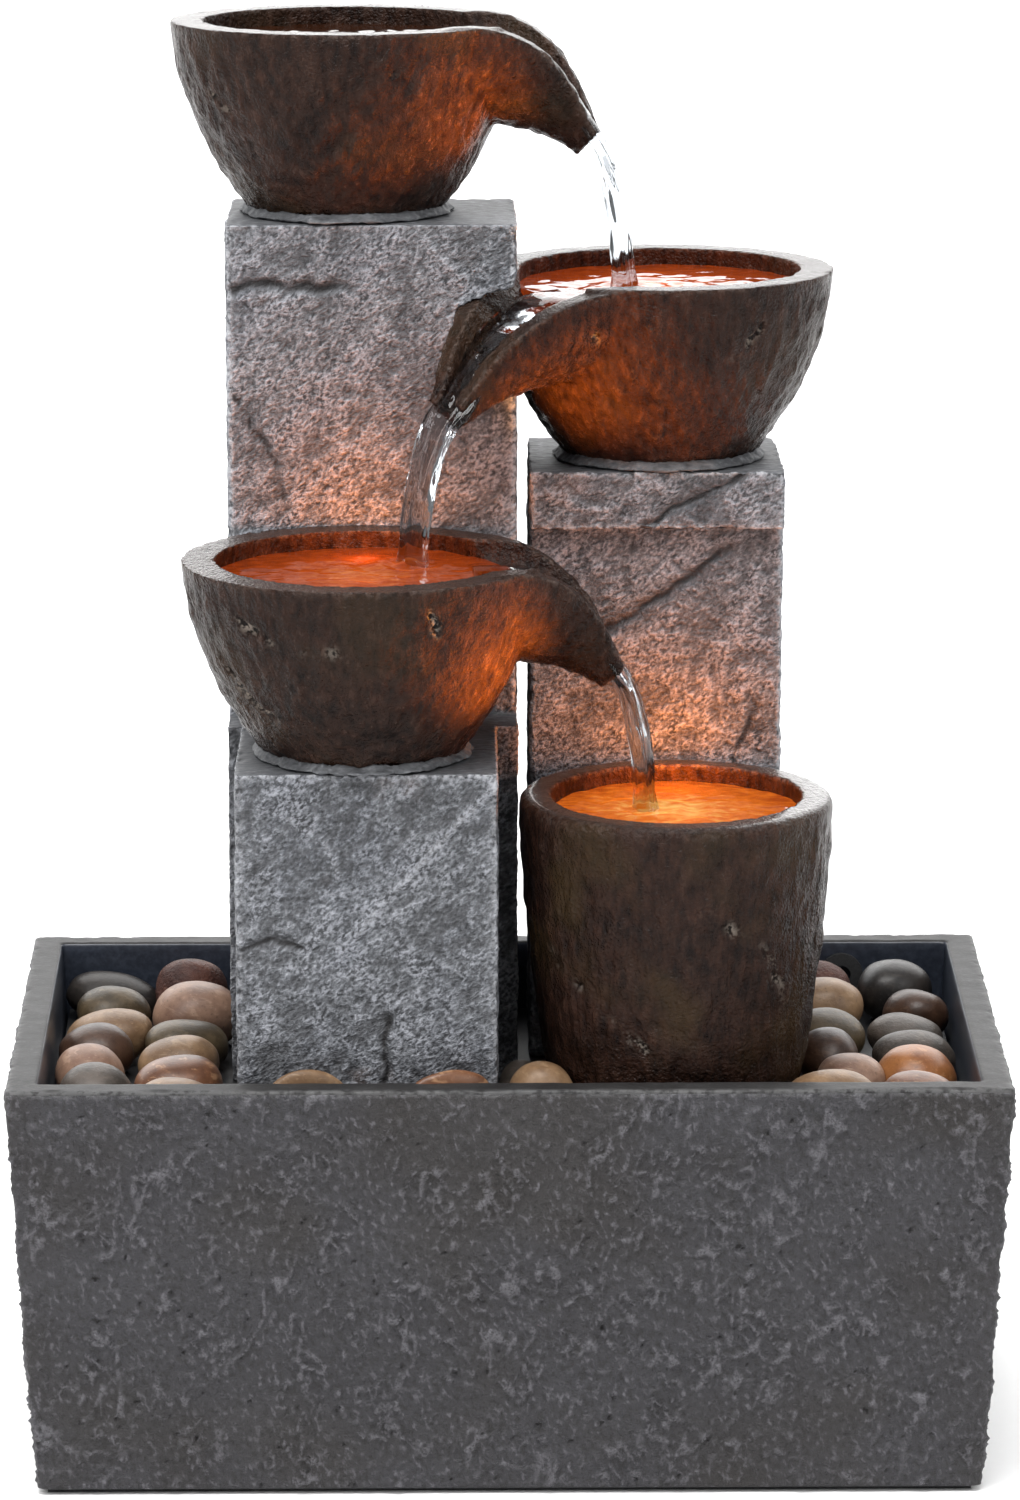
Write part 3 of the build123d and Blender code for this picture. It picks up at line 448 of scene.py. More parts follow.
def makePlain(name, color, roughness, size=1.2, metal=0.0, bumpy=0.12):
    f = Finish(name)
    grain = f.noise(size * mm, 3.0, 0.6)
    dark = tuple(c * 0.72 for c in color)
    light = tuple(min(1, c * 1.2 + 0.004) for c in color)
    f.feed({
        "Base Color": f.mix(grain.between(0.3, 0.7), dark, light),
        "Roughness": roughness + grain * 0.12 - 0.06,
        "Metallic": metal,
    })
    f.bump(grain, bumpy * mm, 0.5)
    return f


def makePool(name, center, strength, core, colors):
    # water lit from below: bright over the lamp, streaked by ripples, darker towards the edge
    f = Finish(name)
    split = f.node("ShaderNodeSeparateXYZ", {}, {0: f.place})
    dx = Value(f, split.outputs[0]) - center[0]
    dy = Value(f, split.outputs[1]) - center[1]
    away = ((dx * dx + dy * dy) ** 0.5) / core
    streaks = f.noise(7 * mm, 3.0, 0.6, f.stretched((0, 1, 0), 2.6), 0.8)
    rings = f.noise(3.2 * mm, 2.0, 0.5, offset=4.0)
    level = (0.82 - away * 0.62) + (streaks - 0.5) * 0.8 + (rings - 0.5) * 0.35
    glow = f.ramp(level.clamped(), colors)
    f.feed({
        "Base Color": (0.02, 0.006, 0.002),
        "Roughness": 0.06,
        "Emission Color": glow,
        "Emission Strength": strength,
        "Specular IOR Level": 0.3,
        "IOR": 1.33,
    })
    f.bump(f.noise(5 * mm, 2.0, 0.5, offset=2.0), 0.5 * mm, 0.3)
    return f


def makeWater(name, tint):
    f = Finish(name)
    ripple = f.noise(3.0 * mm, 2.0, 0.5, f.stretched((0, 0, 1), 0.25))
    f.feed({
        "Base Color": tint,
        "Roughness": 0.02,
        "Transmission Weight": 1.0,
        "IOR": 1.33,
        "Specular IOR Level": 0.5,
    })
    f.bump(ripple, 0.5 * mm, 0.5)
    return f


print("finishes ready")


def neighbourMean(values, quads, count):
    # mean of each point's neighbours, for one column of values
    total, hits = np.zeros(count), np.zeros(count)
    for k in range(4):
        a, b = quads[:, k], quads[:, (k + 1) % 4]
        for first, second in ((a, b), (b, a)):
            total += np.bincount(first, values[second], count)
            hits += np.bincount(first, minlength=count)
    return total / np.maximum(hits, 1)


def softened(values, quads, times=1):
    for i in range(times):
        values = neighbourMean(values, quads, len(values))
    return values


def quadNormals(points, quads):
    a, b, c, d = (points[quads[:, k]] for k in range(4))
    across = np.cross(c - a, d - b)
    normals = np.stack(
        [sum(np.bincount(quads[:, k], across[:, i], len(points)) for k in range(4)) for i in range(3)], 1
    )
    return normals / np.maximum(np.linalg.norm(normals, axis=1), 1e-12)[:, None]


def skinOf(node, cell):
    # the outer and inner skin of a CAD piece in even square cells; points in mm
    copy = bpy.data.objects.new("skin", nodes[node].data.copy())
    bpy.context.scene.collection.objects.link(copy)
    change = copy.modifiers.new("cells", "REMESH")
    change.mode = "VOXEL"
    change.voxel_size = cell * mm
    done = copy.evaluated_get(bpy.context.evaluated_depsgraph_get())
    mesh = done.to_mesh()
    points = np.zeros(len(mesh.vertices) * 3, np.float32)
    mesh.vertices.foreach_get("co", points)
    corners = np.zeros(len(mesh.loops), np.int32)
    mesh.loops.foreach_get("vertex_index", corners)
    done.to_mesh_clear()
    bpy.data.objects.remove(copy)
    points = points.reshape(-1, 3).astype(float) / mm
    quads = corners.reshape(-1, 4)
    return points, quads, quadNormals(points, quads)


def edgeWear(points, quads, normals, cell, spread=2):
    # 1 on outer edges and 0 on flat or hollow places
    centre = np.stack([neighbourMean(points[:, i], quads, len(points)) for i in range(3)], 1)
    bulge = ((points - centre) * normals).sum(1) / cell
    return np.clip(softened(bulge, quads, spread) * 9, 0, 1)


def streaked(points, direction, keep):
    d = np.array(direction, float) / np.linalg.norm(direction)
    return points - np.outer(points @ d, d) * (1 - keep)


def farFromPath(points, path, wobble=0.0, seed=0):
    # distance in mm from a bent line; wobble makes it wander
    if wobble:
        shake = [waves(points, 5.0, seed + i) * wobble for i in range(3)]
        points = points + np.stack(shake, 1)
    path = np.array(path, float)
    nearest = np.full(len(points), 1e9)
    for a, b in zip(path[:-1], path[1:]):
        along = np.clip((points - a) @ (b - a) / ((b - a) @ (b - a)), 0, 1)
        nearest = np.minimum(nearest, np.linalg.norm(points - a - along[:, None] * (b - a), axis=1))
    return nearest


# stone blocks: cell of the mesh, height of the cleft steps and of the grain, and marks on their faces.
# a mark is a bent line with its width, its depth (below 0 stands out) and how light it is
stoneBlocks = {
    "tall_pillar": {
        "cell": 1.0,
        "steps": 0.45,
        "grain": 0.42,
        "seed": 3,
        "marks": [
            ([(-77.9, 12, 320.2), (-68.2, 12, 321.9), (-58.5, 12, 320.7), (-44, 12, 321.3)], 1.3, 1.3, 0.0),
            ([(-20, 12, 331), (-8, 12, 318), (-2, 12, 300)], 0.9, -0.7, 0.8),
            ([(-76, 12, 290), (-66, 12, 276), (-62, 12, 262)], 0.8, 0.8, 0.2),
        ],
    },
    "front_pillar": {
        "cell": 0.8,
        "steps": 0.40,
        "grain": 0.42,
        "seed": 5,
        "marks": [
            (
                [(-4, -64.5, 197), (-16, -64.5, 183.7), (-29.5, -64.5, 169.8), (-41.7, -64.5, 155.7)],
                1.2, -0.8, 1.0,
            ),
            ([(-72.2, -64.5, 152.1), (-64.6, -64.5, 154.6), (-56, -64.5, 152.4)], 0.8, 0.9, 0.0),
            ([(-32.6, -64.5, 133.3), (-33.5, -64.5, 125.1), (-33.2, -64.5, 115)], 0.9, 1.1, 0.1),
            ([(-62, -64.5, 190), (-50, -64.5, 182), (-46, -64.5, 172)], 0.9, -0.5, 0.7),
        ],
    },
    "right_pillar": {
        "cell": 0.9,
        "steps": 0.42,
        "grain": 0.42,
        "seed": 9,
        "marks": [
            (
                [(27, 18, 222), (37.7, 18, 228.4), (46.7, 18, 234.2), (54.5, 18, 239.9), (62, 18, 246)],
                1.2, 1.1, 0.3,
            ),
            ([(12, 18, 240), (22, 18, 232), (26, 18, 221)], 0.8, -0.5, 0.7),
            ([(70, 18, 200), (64, 18, 186), (66, 18, 170)], 0.9, 0.7, 0.1),
        ],
    },
    "pillar_cap": {
        "cell": 0.7,
        "steps": 0.45,
        "grain": 0.45,
        "seed": 12,
        "marks": [
            ([(37.4, 12, 252.5), (48.5, 12, 259.6), (59.6, 12, 264.6), (66.6, 12, 268.5)], 1.0, 1.2, 0.3),
            ([(12, 12, 262), (24, 12, 258), (31, 12, 259)], 0.8, -0.5, 0.8),
        ],
    },
}

pillarSlate = makePillarSlate("pillarSlate", 3.0)
topSlate = makeTopSlate("topSlate")


def makeBlock(node, look):
    points, quads, normals = skinOf(node, look["cell"])
    seed = look["seed"]
    wear = edgeWear(points, quads, normals, look["cell"])
    streaks = streaked(points, (0.66, 0.60, 0.62), 0.45)
    layers = rough(streaked(points, (0.5, 0.5, 0.9), 0.6), 17, seed, 3) * 1.6
    step = np.floor(layers)
    cleft = step + smoothStep(0.62, 1.0, layers - step)
    grain = rough(streaks, 3.6, seed + 20, 2)
    fine = ridges(streaks, 2.6, seed + 30)
    flat = smoothStep(0.85, 0.97, normals[:, 2])
    height = cleft * look["steps"] * 0.5 + grain * look["grain"] * 0.6 + fine * look["grain"] * 0.7
    height = height * (1 - flat * 0.7)
    chips = np.clip(rough(points, 5.0, seed + 40, 3) - 0.15, 0, 1)
    height = height - chips * softened(wear, quads, 3) * 1.6
    crack, light = np.zeros(len(points)), np.zeros(len(points))
    for path, width, depth, pale in look["marks"]:
        d = farFromPath(points, path, 1.3, seed)
        line = np.exp(-((d / width) ** 2))
        height = height - line * depth
        crack = np.maximum(crack, line * (depth > 0))
        light = np.maximum(light, np.exp(-((d / (width * 0.7)) ** 2)) * pale * 0.6)
    moved = points + normals * (height - 0.25)[:, None]
    piece = addObject(node + "_stone", moved * mm, [quads], "tower")
    relief = np.clip(0.5 + (height - height.mean()) / (2.6 * height.std()), 0, 1)
    setAttribute(piece, "relief", np.clip(relief + light * 0.4, 0, 1))
    setAttribute(piece, "crack", crack * 0.9)
    setAttribute(piece, "worn", np.clip(wear * 0.9 + light * 0.8, 0, 1) * (1 - crack))
    paint(piece, pillarSlate, topSlate)
    up = quadNormals(points, quads)[quads].mean(1)[:, 2] > 0.8
    piece.data.polygons.foreach_set("material_index", up.astype(np.int32))
    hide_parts(node)
    return piece


for node, look in stoneBlocks.items():
    makeBlock(node, look)
print("pillars ready")

basinLook = {
    "points": 1090,  # around the outside
    "layers": 142,
    "front": 272.0,
    "widening": 8.0,
    "lean": 6.4,
    "wall": 8.8,
    "edge": 1.5,
    "floor": 9.5,
    "worms": 1.1,  # heights of the surface's features
    "grains": 0.42,
    "lumps": 0.30,
    "holes": 0.8,
}


def basinLoop(z, inset, count):
    low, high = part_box("basin")[0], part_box("back_panel")[1]
    height, depth = high.z / mm, (high.y - low.y) / mm
    lean = basinLook["lean"] * (height - z) / height
    front, back = low.y / mm + lean + inset, high.y / mm - inset
    middle = basinLook["front"] / 2 + basinLook["widening"] / 2 * 0.5

    def half(y):
        return middle + basinLook["widening"] / 2 * y / depth - lean - inset

    corners = [(-half(front), front), (half(front), front), (half(back), back), (-half(back), back)]
    corners = np.array(corners)
    bend = max(2.2 - inset * 0.1, 0.8)
    line = []
    for i in range(4):
        before, here, after = corners[i - 1], corners[i], corners[(i + 1) % 4]
        a = (before - here) / np.linalg.norm(before - here)
        b = (after - here) / np.linalg.norm(after - here)
        for t in np.linspace(0, 1, 7):
            line.append(here + a * bend * (1 - t) ** 2 + b * bend * t**2)
    line = np.array(line + line[:1])
    length = np.concatenate([[0], np.cumsum(np.linalg.norm(np.diff(line, axis=0), axis=1))])
    want = np.linspace(0, length[-1], count, endpoint=False)
    loop = np.stack([np.interp(want, length, line[:, i]) for i in range(2)], 1)
    return np.column_stack([loop, np.full(count, z)])


def makeBasin():
    look, count = basinLook, basinLook["points"]
    low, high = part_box("basin")
    bottom, top, edge, wall = low.z / mm, high.z / mm, look["edge"], look["wall"]
    path = [(bottom, 1.0), (bottom + 0.4, 0.3)]
    path += [(z, 0.0) for z in np.linspace(bottom + 1.2, top - edge, look["layers"])]
    path += [(top - edge + edge * math.sin(a), edge - edge * math.cos(a)) for a in (0.4, 0.8, 1.2)]
    path += [(top, i) for i in np.linspace(edge, wall - 1.0, 8)]
    path += [(top - 0.35, wall - 0.3), (top - 1.1, wall)]
    path += [(z, wall) for z in np.linspace(top - 3, look["floor"], 12)]
    points = np.concatenate([basinLoop(z, inset, count) for z, inset in path])
    rows = len(path)
    grid = np.arange(rows * count).reshape(rows, count)
    right = np.roll(grid, -1, axis=1)
    quads = np.stack([grid[:-1], right[:-1], right[1:], grid[1:]], -1).reshape(-1, 4)
    normals = quadNormals(points, quads)
    insets = np.repeat([p[1] for p in path], count)
    outside = (insets < 0.2) & (points[:, 2] > bottom)
    fade = np.where(outside, 1.0, 0.0)
    onRim = smoothStep(0.5, 0.9, normals[:, 2])
    near = smoothStep(top - 5.0, top - 0.5, points[:, 2]) * (insets < edge + 0.4)

    p = points
    # worms: short raised ridges that run down to the right; a second set stands steeper
    first = ridges(streaked(p, (0.55, 0.5, -0.80), 0.24), 4.2, 2) ** 4.0
    second = ridges(streaked(p, (-0.15, -0.2, -1.0), 0.26), 4.8, 5) ** 4.0
    where = smoothStep(0.02, 0.40, rough(p, 13, 8, 2))
    other = smoothStep(0.02, 0.4, rough(p, 16, 12, 2))
    grains = smoothStep(0.10, 0.6, rough(p, 2.6, 15, 2))
    lumps = rough(p, 15, 18, 3)
    holes = smoothStep(0.62, 0.95, rough(p, 2.6, 22, 2)) * (1 - first * 0.5)
    worms = np.maximum(first * where, second * other * 0.85)
    height = worms * look["worms"] + grains * look["grains"]
    height = height + lumps * look["lumps"] - holes * look["holes"]
    edgeChips = np.clip(rough(p, 7, 31, 3), 0, 1) * near
    height = height * fade * (1 - near * 0.55) - edgeChips * 0.7
    height = height + (1 - fade) * onRim * (rough(p, 9, 35, 3) * 0.12)
    moved = p + normals * (height - 0.35 * fade)[:, None]
    moved[:, 2] = np.clip(moved[:, 2], bottom, top + 0.3)

    # close the underside and the floor inside
    centreLow, centreIn = len(moved), len(moved) + 1
    moved = np.vstack([moved, [[0, 0, bottom]], [[0, 0, look["floor"]]]])
    under = np.stack([right[0], grid[0], np.full(count, centreLow)], -1)
    inner = np.stack([grid[-1], right[-1], np.full(count, centreIn)], -1)
    piece = addObject("basin_stone", moved * mm, [quads, under, inner], "base")
    extra = np.zeros(2)
    setAttribute(piece, "relief", np.append(np.clip(worms * 0.9 + grains * 0.45 * fade, 0, 1) * fade, extra))
    setAttribute(piece, "pit", np.append(holes * fade * (1 - near), extra))
    rimEdge = np.exp(-(((insets - 0.6) / 0.9) ** 2)) * (points[:, 2] > top - 2.2)
    setAttribute(piece, "worn", np.append(np.clip(rimEdge * 0.8 + near * 0.15 * grains, 0, 1), extra))
    paint(piece, makeBasinSlate(), makeBasinRim(), makeBasinInside())
    rowPart = np.zeros(rows - 1, np.int32)
    for i in range(rows - 1):
        z, inset = path[i + 1]
        rowPart[i] = 0 if z < top - 0.8 and inset < 0.7 else 1 if z > top - 0.6 else 2
    kind = np.concatenate([np.repeat(rowPart, count), np.zeros(count, int), np.full(count, 2)])
    piece.data.polygons.foreach_set("material_index", kind.astype(np.int32))
    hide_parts("basin", "back_panel")
    return piece


makeBasin()
print("basin ready")

bowlBronze = makeBronze("bowlBronze", 0.19)
potBronze = makeBronze("potBronze", 0.14, 0.6, 0.4)
vesselCell = 0.75  # mesh cell in mm

# cracks are bent lines over the outside
vesselLooks = {
    "top_bowl": {"seed": 41, "cracks": [
        [(-76, 2, 372), (-66, -6, 366), (-52, -8, 368), (-40, -8, 361)],
        [(-30, -6, 380), (-20, -2, 370), (-6, 2, 366)],
        [(-84, 20, 380), (-76, 6, 365), (-70, 4, 352)],
    ]},
    "middle_bowl": {"seed": 47, "cracks": [
        [(20, -4, 312), (36, -8, 304), (50, -8, 298), (64, -2, 292)],
        [(70, 2, 312), (62, -3, 300), (58, -4, 286)],
    ]},
    "lower_bowl": {"seed": 53, "cracks": [
        [(-72, -72, 244), (-58, -82, 236), (-44, -85, 238), (-30, -84, 230)],
        [(-20, -82, 246), (-12, -78, 236), (-4, -74, 230)],
        [(-80, -60, 232), (-70, -64, 222), (-62, -66, 214)],
    ]},
    "pot": {"seed": 59, "cracks": [
        [(8.1, -54, 150.3), (18.9, -66, 139.1), (28.4, -70, 130.7), (36.5, -71, 125.1)],
        [(60, -72, 160), (70, -66, 150), (74, -60, 136), (70, -58, 120)],
    ]},
}


def makeVessel(node, look):
    points, quads, normals = skinOf(node, vesselCell)
    seed = look["seed"]
    low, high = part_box(node)
    top = high.z / mm
    wear = edgeWear(points, quads, normals, vesselCell, 1)
    flatTop = smoothStep(0.72, 0.93, normals[:, 2])
    outer = 1 - flatTop
    beaten = rough(streaked(points, (0, 0, 1), 0.5), 5.0, seed, 3)
    hammered = np.abs(waves(streaked(points, (0.1, 0.1, 1), 0.62), 7.0, seed + 9))
    grooves = ridges(streaked(points, (0, 0, 1), 0.22), 3.6, seed + 17)
    lip = smoothStep(9, 2, top - points[:, 2])
    height = (beaten * 0.42 + hammered * 0.7 - grooves * 0.30) * outer * (1 - lip * 0.6)
    height = height + flatTop * rough(points, 6.0, seed + 23, 2) * 0.10
    crack = np.zeros(len(points))
    for path in look["cracks"]:
        crack = np.maximum(crack, np.exp(-((farFromPath(points, path, 2.0, seed) / 1.0) ** 2)))
    height = height - crack * 1.1 * outer
    height = height - np.clip(rough(points, 4.0, seed + 29, 2), 0, 1) * wear * 0.5
    moved = points + normals * (height - 0.15)[:, None]
    piece = addObject(node + "_cast", moved * mm, [quads], "tower")
    relief = np.clip(0.5 + height / 1.1, 0, 1)
    setAttribute(piece, "relief", relief * outer)
    setAttribute(piece, "rim", softened(flatTop * (points[:, 2] > low.z / mm + 22), quads, 1))
    setAttribute(piece, "crack", softened(crack * outer, quads, 1))
    setAttribute(piece, "worn", wear)
    paint(piece, potBronze if node == "pot" else bowlBronze)
    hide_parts(node)
    return piece


for node, look in vesselLooks.items():
    makeVessel(node, look)

mortar = makeMortar()
bedLook = {"cell": 0.6, "inward": 3.5, "squeeze": 0.6, "wander": 1.0}


def makeMortarRing(node, look):
    # the ring's own shape drawn in towards the bowl's foot
    points, quads, normals = skinOf(node, look["cell"])
    low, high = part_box(node)
    middle = np.array([(low.x + high.x) / 2, (low.y + high.y) / 2]) / mm
    away = points[:, :2] - middle
    r = np.linalg.norm(away, axis=1)
    ring = (high.x - low.x) / 2 / mm
    narrow = ring - look["inward"] + (r - ring) * look["squeeze"] + rough(points, 9, 62, 2) * look["wander"]
    points = np.column_stack([middle + away * (narrow / r)[:, None], points[:, 2]])
    moved = points + normals * (rough(points, 4, 61, 3) * 0.5 - 0.2)[:, None]
    piece = addObject(node + "_mortar", moved * mm, [quads], "tower")
    paint(piece, topSlate)
    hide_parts(node)


for node in ("top_bowl_bed", "middle_bowl_bed", "lower_bowl_bed"):
    makeMortarRing(node, bedLook)
print("bowls ready")


def islandsOf(node):
    # points in mm of each separate stone in a CAD node
    mesh = nodes[node].data
    points = np.zeros(len(mesh.vertices) * 3, np.float32)
    mesh.vertices.foreach_get("co", points)
    points = points.reshape(-1, 3) / mm
    edges = np.zeros(len(mesh.edges) * 2, np.int32)
    mesh.edges.foreach_get("vertices", edges)
    edges = edges.reshape(-1, 2)
    same = np.unique(np.round(points * 200).astype(int), axis=0, return_inverse=True)[1].reshape(-1)
    group = np.arange(same.max() + 1)
    a, b = same[edges[:, 0]], same[edges[:, 1]]
    while True:
        lowest = np.minimum(group[a], group[b])
        changed = group.copy()
        np.minimum.at(changed, a, lowest)
        np.minimum.at(changed, b, lowest)
        changed = changed[changed]
        if (changed == group).all():
            break
        group = changed
    label = group[same]
    stones = [points[label == g] for g in np.unique(label)]
    stones = [s for s in stones if len(s) > 20]
    return sorted(stones, key=lambda s: (round(s[:, 1].max() / 8), s[:, 0].mean()))


def sphereMesh():
    ball = bmesh.new()
    bmesh.ops.create_icosphere(ball, subdivisions=5, radius=1)
    points = np.array([v.co[:] for v in ball.verts])
    faces = np.array([[v.index for v in f.verts] for f in ball.faces])
    ball.free()
    return points, faces


# stone colours as dark, light, vein; then how much vein, roughness and lumpiness
stoneColors = {
    "black": ((0.007, 0.006, 0.006), (0.026, 0.021, 0.018), (0.067, 0.053, 0.042), 0.2, 0.26, 0.1),
    "redBrown": ((0.033, 0.010, 0.007), (0.085, 0.030, 0.019), (0.163, 0.068, 0.042), 0.3, 0.45, 0.9),
    "olive": ((0.033, 0.022, 0.010), (0.085, 0.059, 0.031), (0.170, 0.124, 0.073), 0.4, 0.30, 0.2),
    "pink": ((0.141, 0.077, 0.052), (0.252, 0.152, 0.104), (0.370, 0.248, 0.177), 0.5, 0.32, 0.15),
    "tan": ((0.126, 0.071, 0.036), (0.229, 0.140, 0.075), (0.326, 0.223, 0.135), 0.4, 0.30, 0.2),
    "brown": ((0.026, 0.012, 0.007), (0.063, 0.031, 0.018), (0.126, 0.068, 0.039), 0.35, 0.25, 0.15),
    "agate": ((0.078, 0.030, 0.014), (0.163, 0.071, 0.034), (0.311, 0.174, 0.094), 0.8, 0.22, 0.1),
    "grey": ((0.033, 0.027, 0.022), (0.078, 0.062, 0.051), (0.148, 0.121, 0.099), 0.4, 0.33, 0.3),
    "amber": ((0.155, 0.053, 0.016), (0.281, 0.112, 0.036), (0.407, 0.205, 0.088), 0.5, 0.24, 0.1),
}
stoneFinishes = {}
for i, (name, (dark, light, vein, amount, gloss, lumpy)) in enumerate(stoneColors.items()):
    stoneFinishes[name] = makePebble(name + "Stone", dark, light, vein, amount, gloss, lumpy, i * 3.7)

# kinds of stone, from the back to the front and from left to right
stoneOrder = {
    "pebbles_left": [
        "black", "redBrown", "olive", "pink", "tan", "olive", "brown",
        "tan", "pink", "agate", "grey", "tan", "brown",
    ],
    "pebbles_right": [
        "redBrown", "black", "tan", "brown", "olive", "grey", "brown", "grey", "amber", "pink", "tan", "agate",
    ],
    "pebbles_front": ["grey", "tan", "tan", "brown", "agate"],
}
pebbleLook = {"larger": (1.04, 1.16), "shift": 1.5, "turn": 0.45, "tilt": 0.16, "uneven": 0.11}


def makePebbles(node):
    ball, triangles = sphereMesh()
    allPoints, allFaces, allKinds, names = [], [], [], []
    rows = sorted(islandsOf(node), key=lambda s: (-round(s[:, 1].mean() / 6), s[:, 0].mean()))
    chance = np.random.default_rng(len(rows))
    for i, stone in enumerate(rows):
        low, high = stone.min(0), stone.max(0)
        centre = (low + high) / 2
        flat = stone[:, :2] - centre[:2]
        axes = np.linalg.eigh(flat.T @ flat)[1].T[::-1]
        squareOn = abs(abs(axes[0, 0]) - abs(axes[0, 1])) > 0.93
        if squareOn or abs(flat[:, 0].max() - flat[:, 1].max()) < 0.6:
            axes = np.eye(2)
        half = [np.abs(flat @ axes[k]).max() for k in range(2)] + [(high[2] - low[2]) / 2]
        shape = np.sign(ball) * np.abs(ball) ** 0.9
        bumps = 1 + waves(ball, 1.6, i * 3 + 70) * pebbleLook["uneven"]
        bumps = bumps + waves(ball, 0.6, i * 3 + 90) * 0.02
        shape = shape * bumps[:, None]
        shape = shape / np.abs(shape).max(0)
        local = shape * np.array(half) * chance.uniform(*pebbleLook["larger"])
        placed = local[:, :1] * np.append(axes[0], 0) + local[:, 1:2] * np.append(axes[1], 0)
        placed = placed + local[:, 2:] * (0, 0, 1)
        angles = chance.uniform(-1, 1, 3) * (pebbleLook["tilt"], pebbleLook["tilt"], pebbleLook["turn"])
        turn = np.array(Euler(angles.tolist()).to_matrix())
        placed = placed @ turn.T + centre + np.append(chance.uniform(-1, 1, 2) * pebbleLook["shift"], 0.3)
        faces = triangles[:, ::-1] if np.linalg.det(axes) < 0 else triangles
        name = stoneOrder[node][i]
        if name not in names:
            names.append(name)
        allFaces.append(faces + sum(len(q) for q in allPoints))
        allPoints.append(placed)
        allKinds.append(np.full(len(faces), names.index(name)))
    piece = addObject(node + "_stones", np.vstack(allPoints) * mm, [np.vstack(allFaces)], "tower")
    paint(piece, *[stoneFinishes[n] for n in names])
    piece.data.polygons.foreach_set("material_index", np.concatenate(allKinds).astype(np.int32))
    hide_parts(node)


for node in stoneOrder:
    makePebbles(node)
print("pebbles ready")

# glow of the water, from its dark edge to over the lamp
litColors = [
    (0.0, (0.08, 0.009, 0.001)), (0.3, (0.30, 0.034, 0.003)),
    (0.62, (0.62, 0.085, 0.008)), (0.95, (1.0, 0.26, 0.04)),
]
potColors = [
    (0.0, (0.14, 0.018, 0.002)), (0.28, (0.40, 0.058, 0.005)),
    (0.6, (0.85, 0.19, 0.016)), (0.92, (1.0, 0.62, 0.16)),
]
darkColors = [(0.0, (0.0, 0.0, 0.0)), (0.6, (0.006, 0.004, 0.003)), (1.0, (0.015, 0.012, 0.010))]

# pools: middle, height of the water, its radius, and where the stream from above lands, in mm
pools = {
    "top": {"middle": (-44.7, 40.75), "level": 387.3, "radius": 40.2,
            "hit": None, "glow": 0.0, "colors": darkColors, "core": 60.0},
    "middle": {"middle": (43.6, 40.75), "level": 317.8, "radius": 40.2,
               "hit": (35.0, 32.5), "glow": 0.5, "colors": litColors, "core": 52.0},
    "lower": {"middle": (-39.6, -37.3), "level": 249.4, "radius": 40.2,
              "hit": (-26.5, -22.6), "glow": 0.5, "colors": litColors, "core": 52.0},
    "pot": {"middle": (46.0, -34.0), "level": 183.0, "radius": 34.8,
            "hit": (37.5, -31.9), "glow": 0.8, "colors": potColors, "core": 50.0},
}


def makePoolPiece(name, look):
    rings, around, deep = 46, 160, 4
    centre, level = look["middle"], look["level"]
    r = np.linspace(0, look["radius"], rings + 1)[1:]
    a = np.linspace(0, 2 * math.pi, around, endpoint=False)
    x = centre[0] + np.outer(r, np.cos(a)).reshape(-1)
    y = centre[1] + np.outer(r, np.sin(a)).reshape(-1)
    flat = np.column_stack([x, y, np.zeros(len(x))])
    z = rough(flat, 8.0, 77, 2) * 0.35
    if look["hit"]:
        d = np.hypot(x - look["hit"][0], y - look["hit"][1])
        z = z + np.cos(d / 1.6) * np.exp(-d / 9) * 0.9 + np.exp(-((d / 5) ** 2)) * 1.2
    top = np.column_stack([x, y, level + z])
    bottom = np.column_stack([x[-around:], y[-around:], np.full(around, level - deep)])
    points = np.vstack([top, bottom, [[*centre, level], [*centre, level - deep]]])
    grid = np.arange(rings * around).reshape(rings, around)
    right = np.roll(grid, -1, axis=1)
    quads = np.stack([grid[:-1], grid[1:], right[1:], right[:-1]], -1).reshape(-1, 4)
    edge = np.arange(around) + rings * around
    side = np.stack([grid[-1], edge, np.roll(edge, -1), right[-1]], -1)
    middle, under = len(points) - 2, len(points) - 1
    fan = np.stack([grid[0], right[0], np.full(around, middle)], -1)
    base = np.stack([np.roll(edge, -1), edge, np.full(around, under)], -1)
    piece = addObject(name + "_water", points * mm, [np.vstack([quads, side]), np.vstack([fan, base])], "tower")
    lamp = [c * mm for c in centre]
    paint(piece, makePool(name + "Water", lamp, look["glow"], look["core"] * mm, look["colors"]))


# water on a pouring lip: distance out, depth below the rim, half width and half thickness, in mm
lipFlow = [
    (30.0, 5.4, 12.0, 4.0), (42.0, 6.0, 13.5, 4.0), (49.0, 8.0, 13.5, 3.6), (55.0, 11.8, 11.0, 3.0),
    (60.0, 17.0, 8.8, 2.6), (64.0, 22.6, 7.6, 2.5), (67.5, 28.0, 7.4, 2.6), (70.6, 33.0, 7.6, 2.8),
]
# streams: the rim's height, the lip's turn, how far it reaches against the line above, where the water lands
streams = {
    "top": {"rim": 392.3, "turn": -6.0, "reach": 1.0, "land": (78.5, 318.0), "seed": 3},
    "middle": {"rim": 322.8, "turn": 222.0, "reach": 1.5, "land": (93.5, 249.0), "seed": 5},
    "lower": {"rim": 254.3, "turn": 4.0, "reach": 1.0, "land": (77.5, 183.0), "seed": 8},
}
bowlRadius = 49


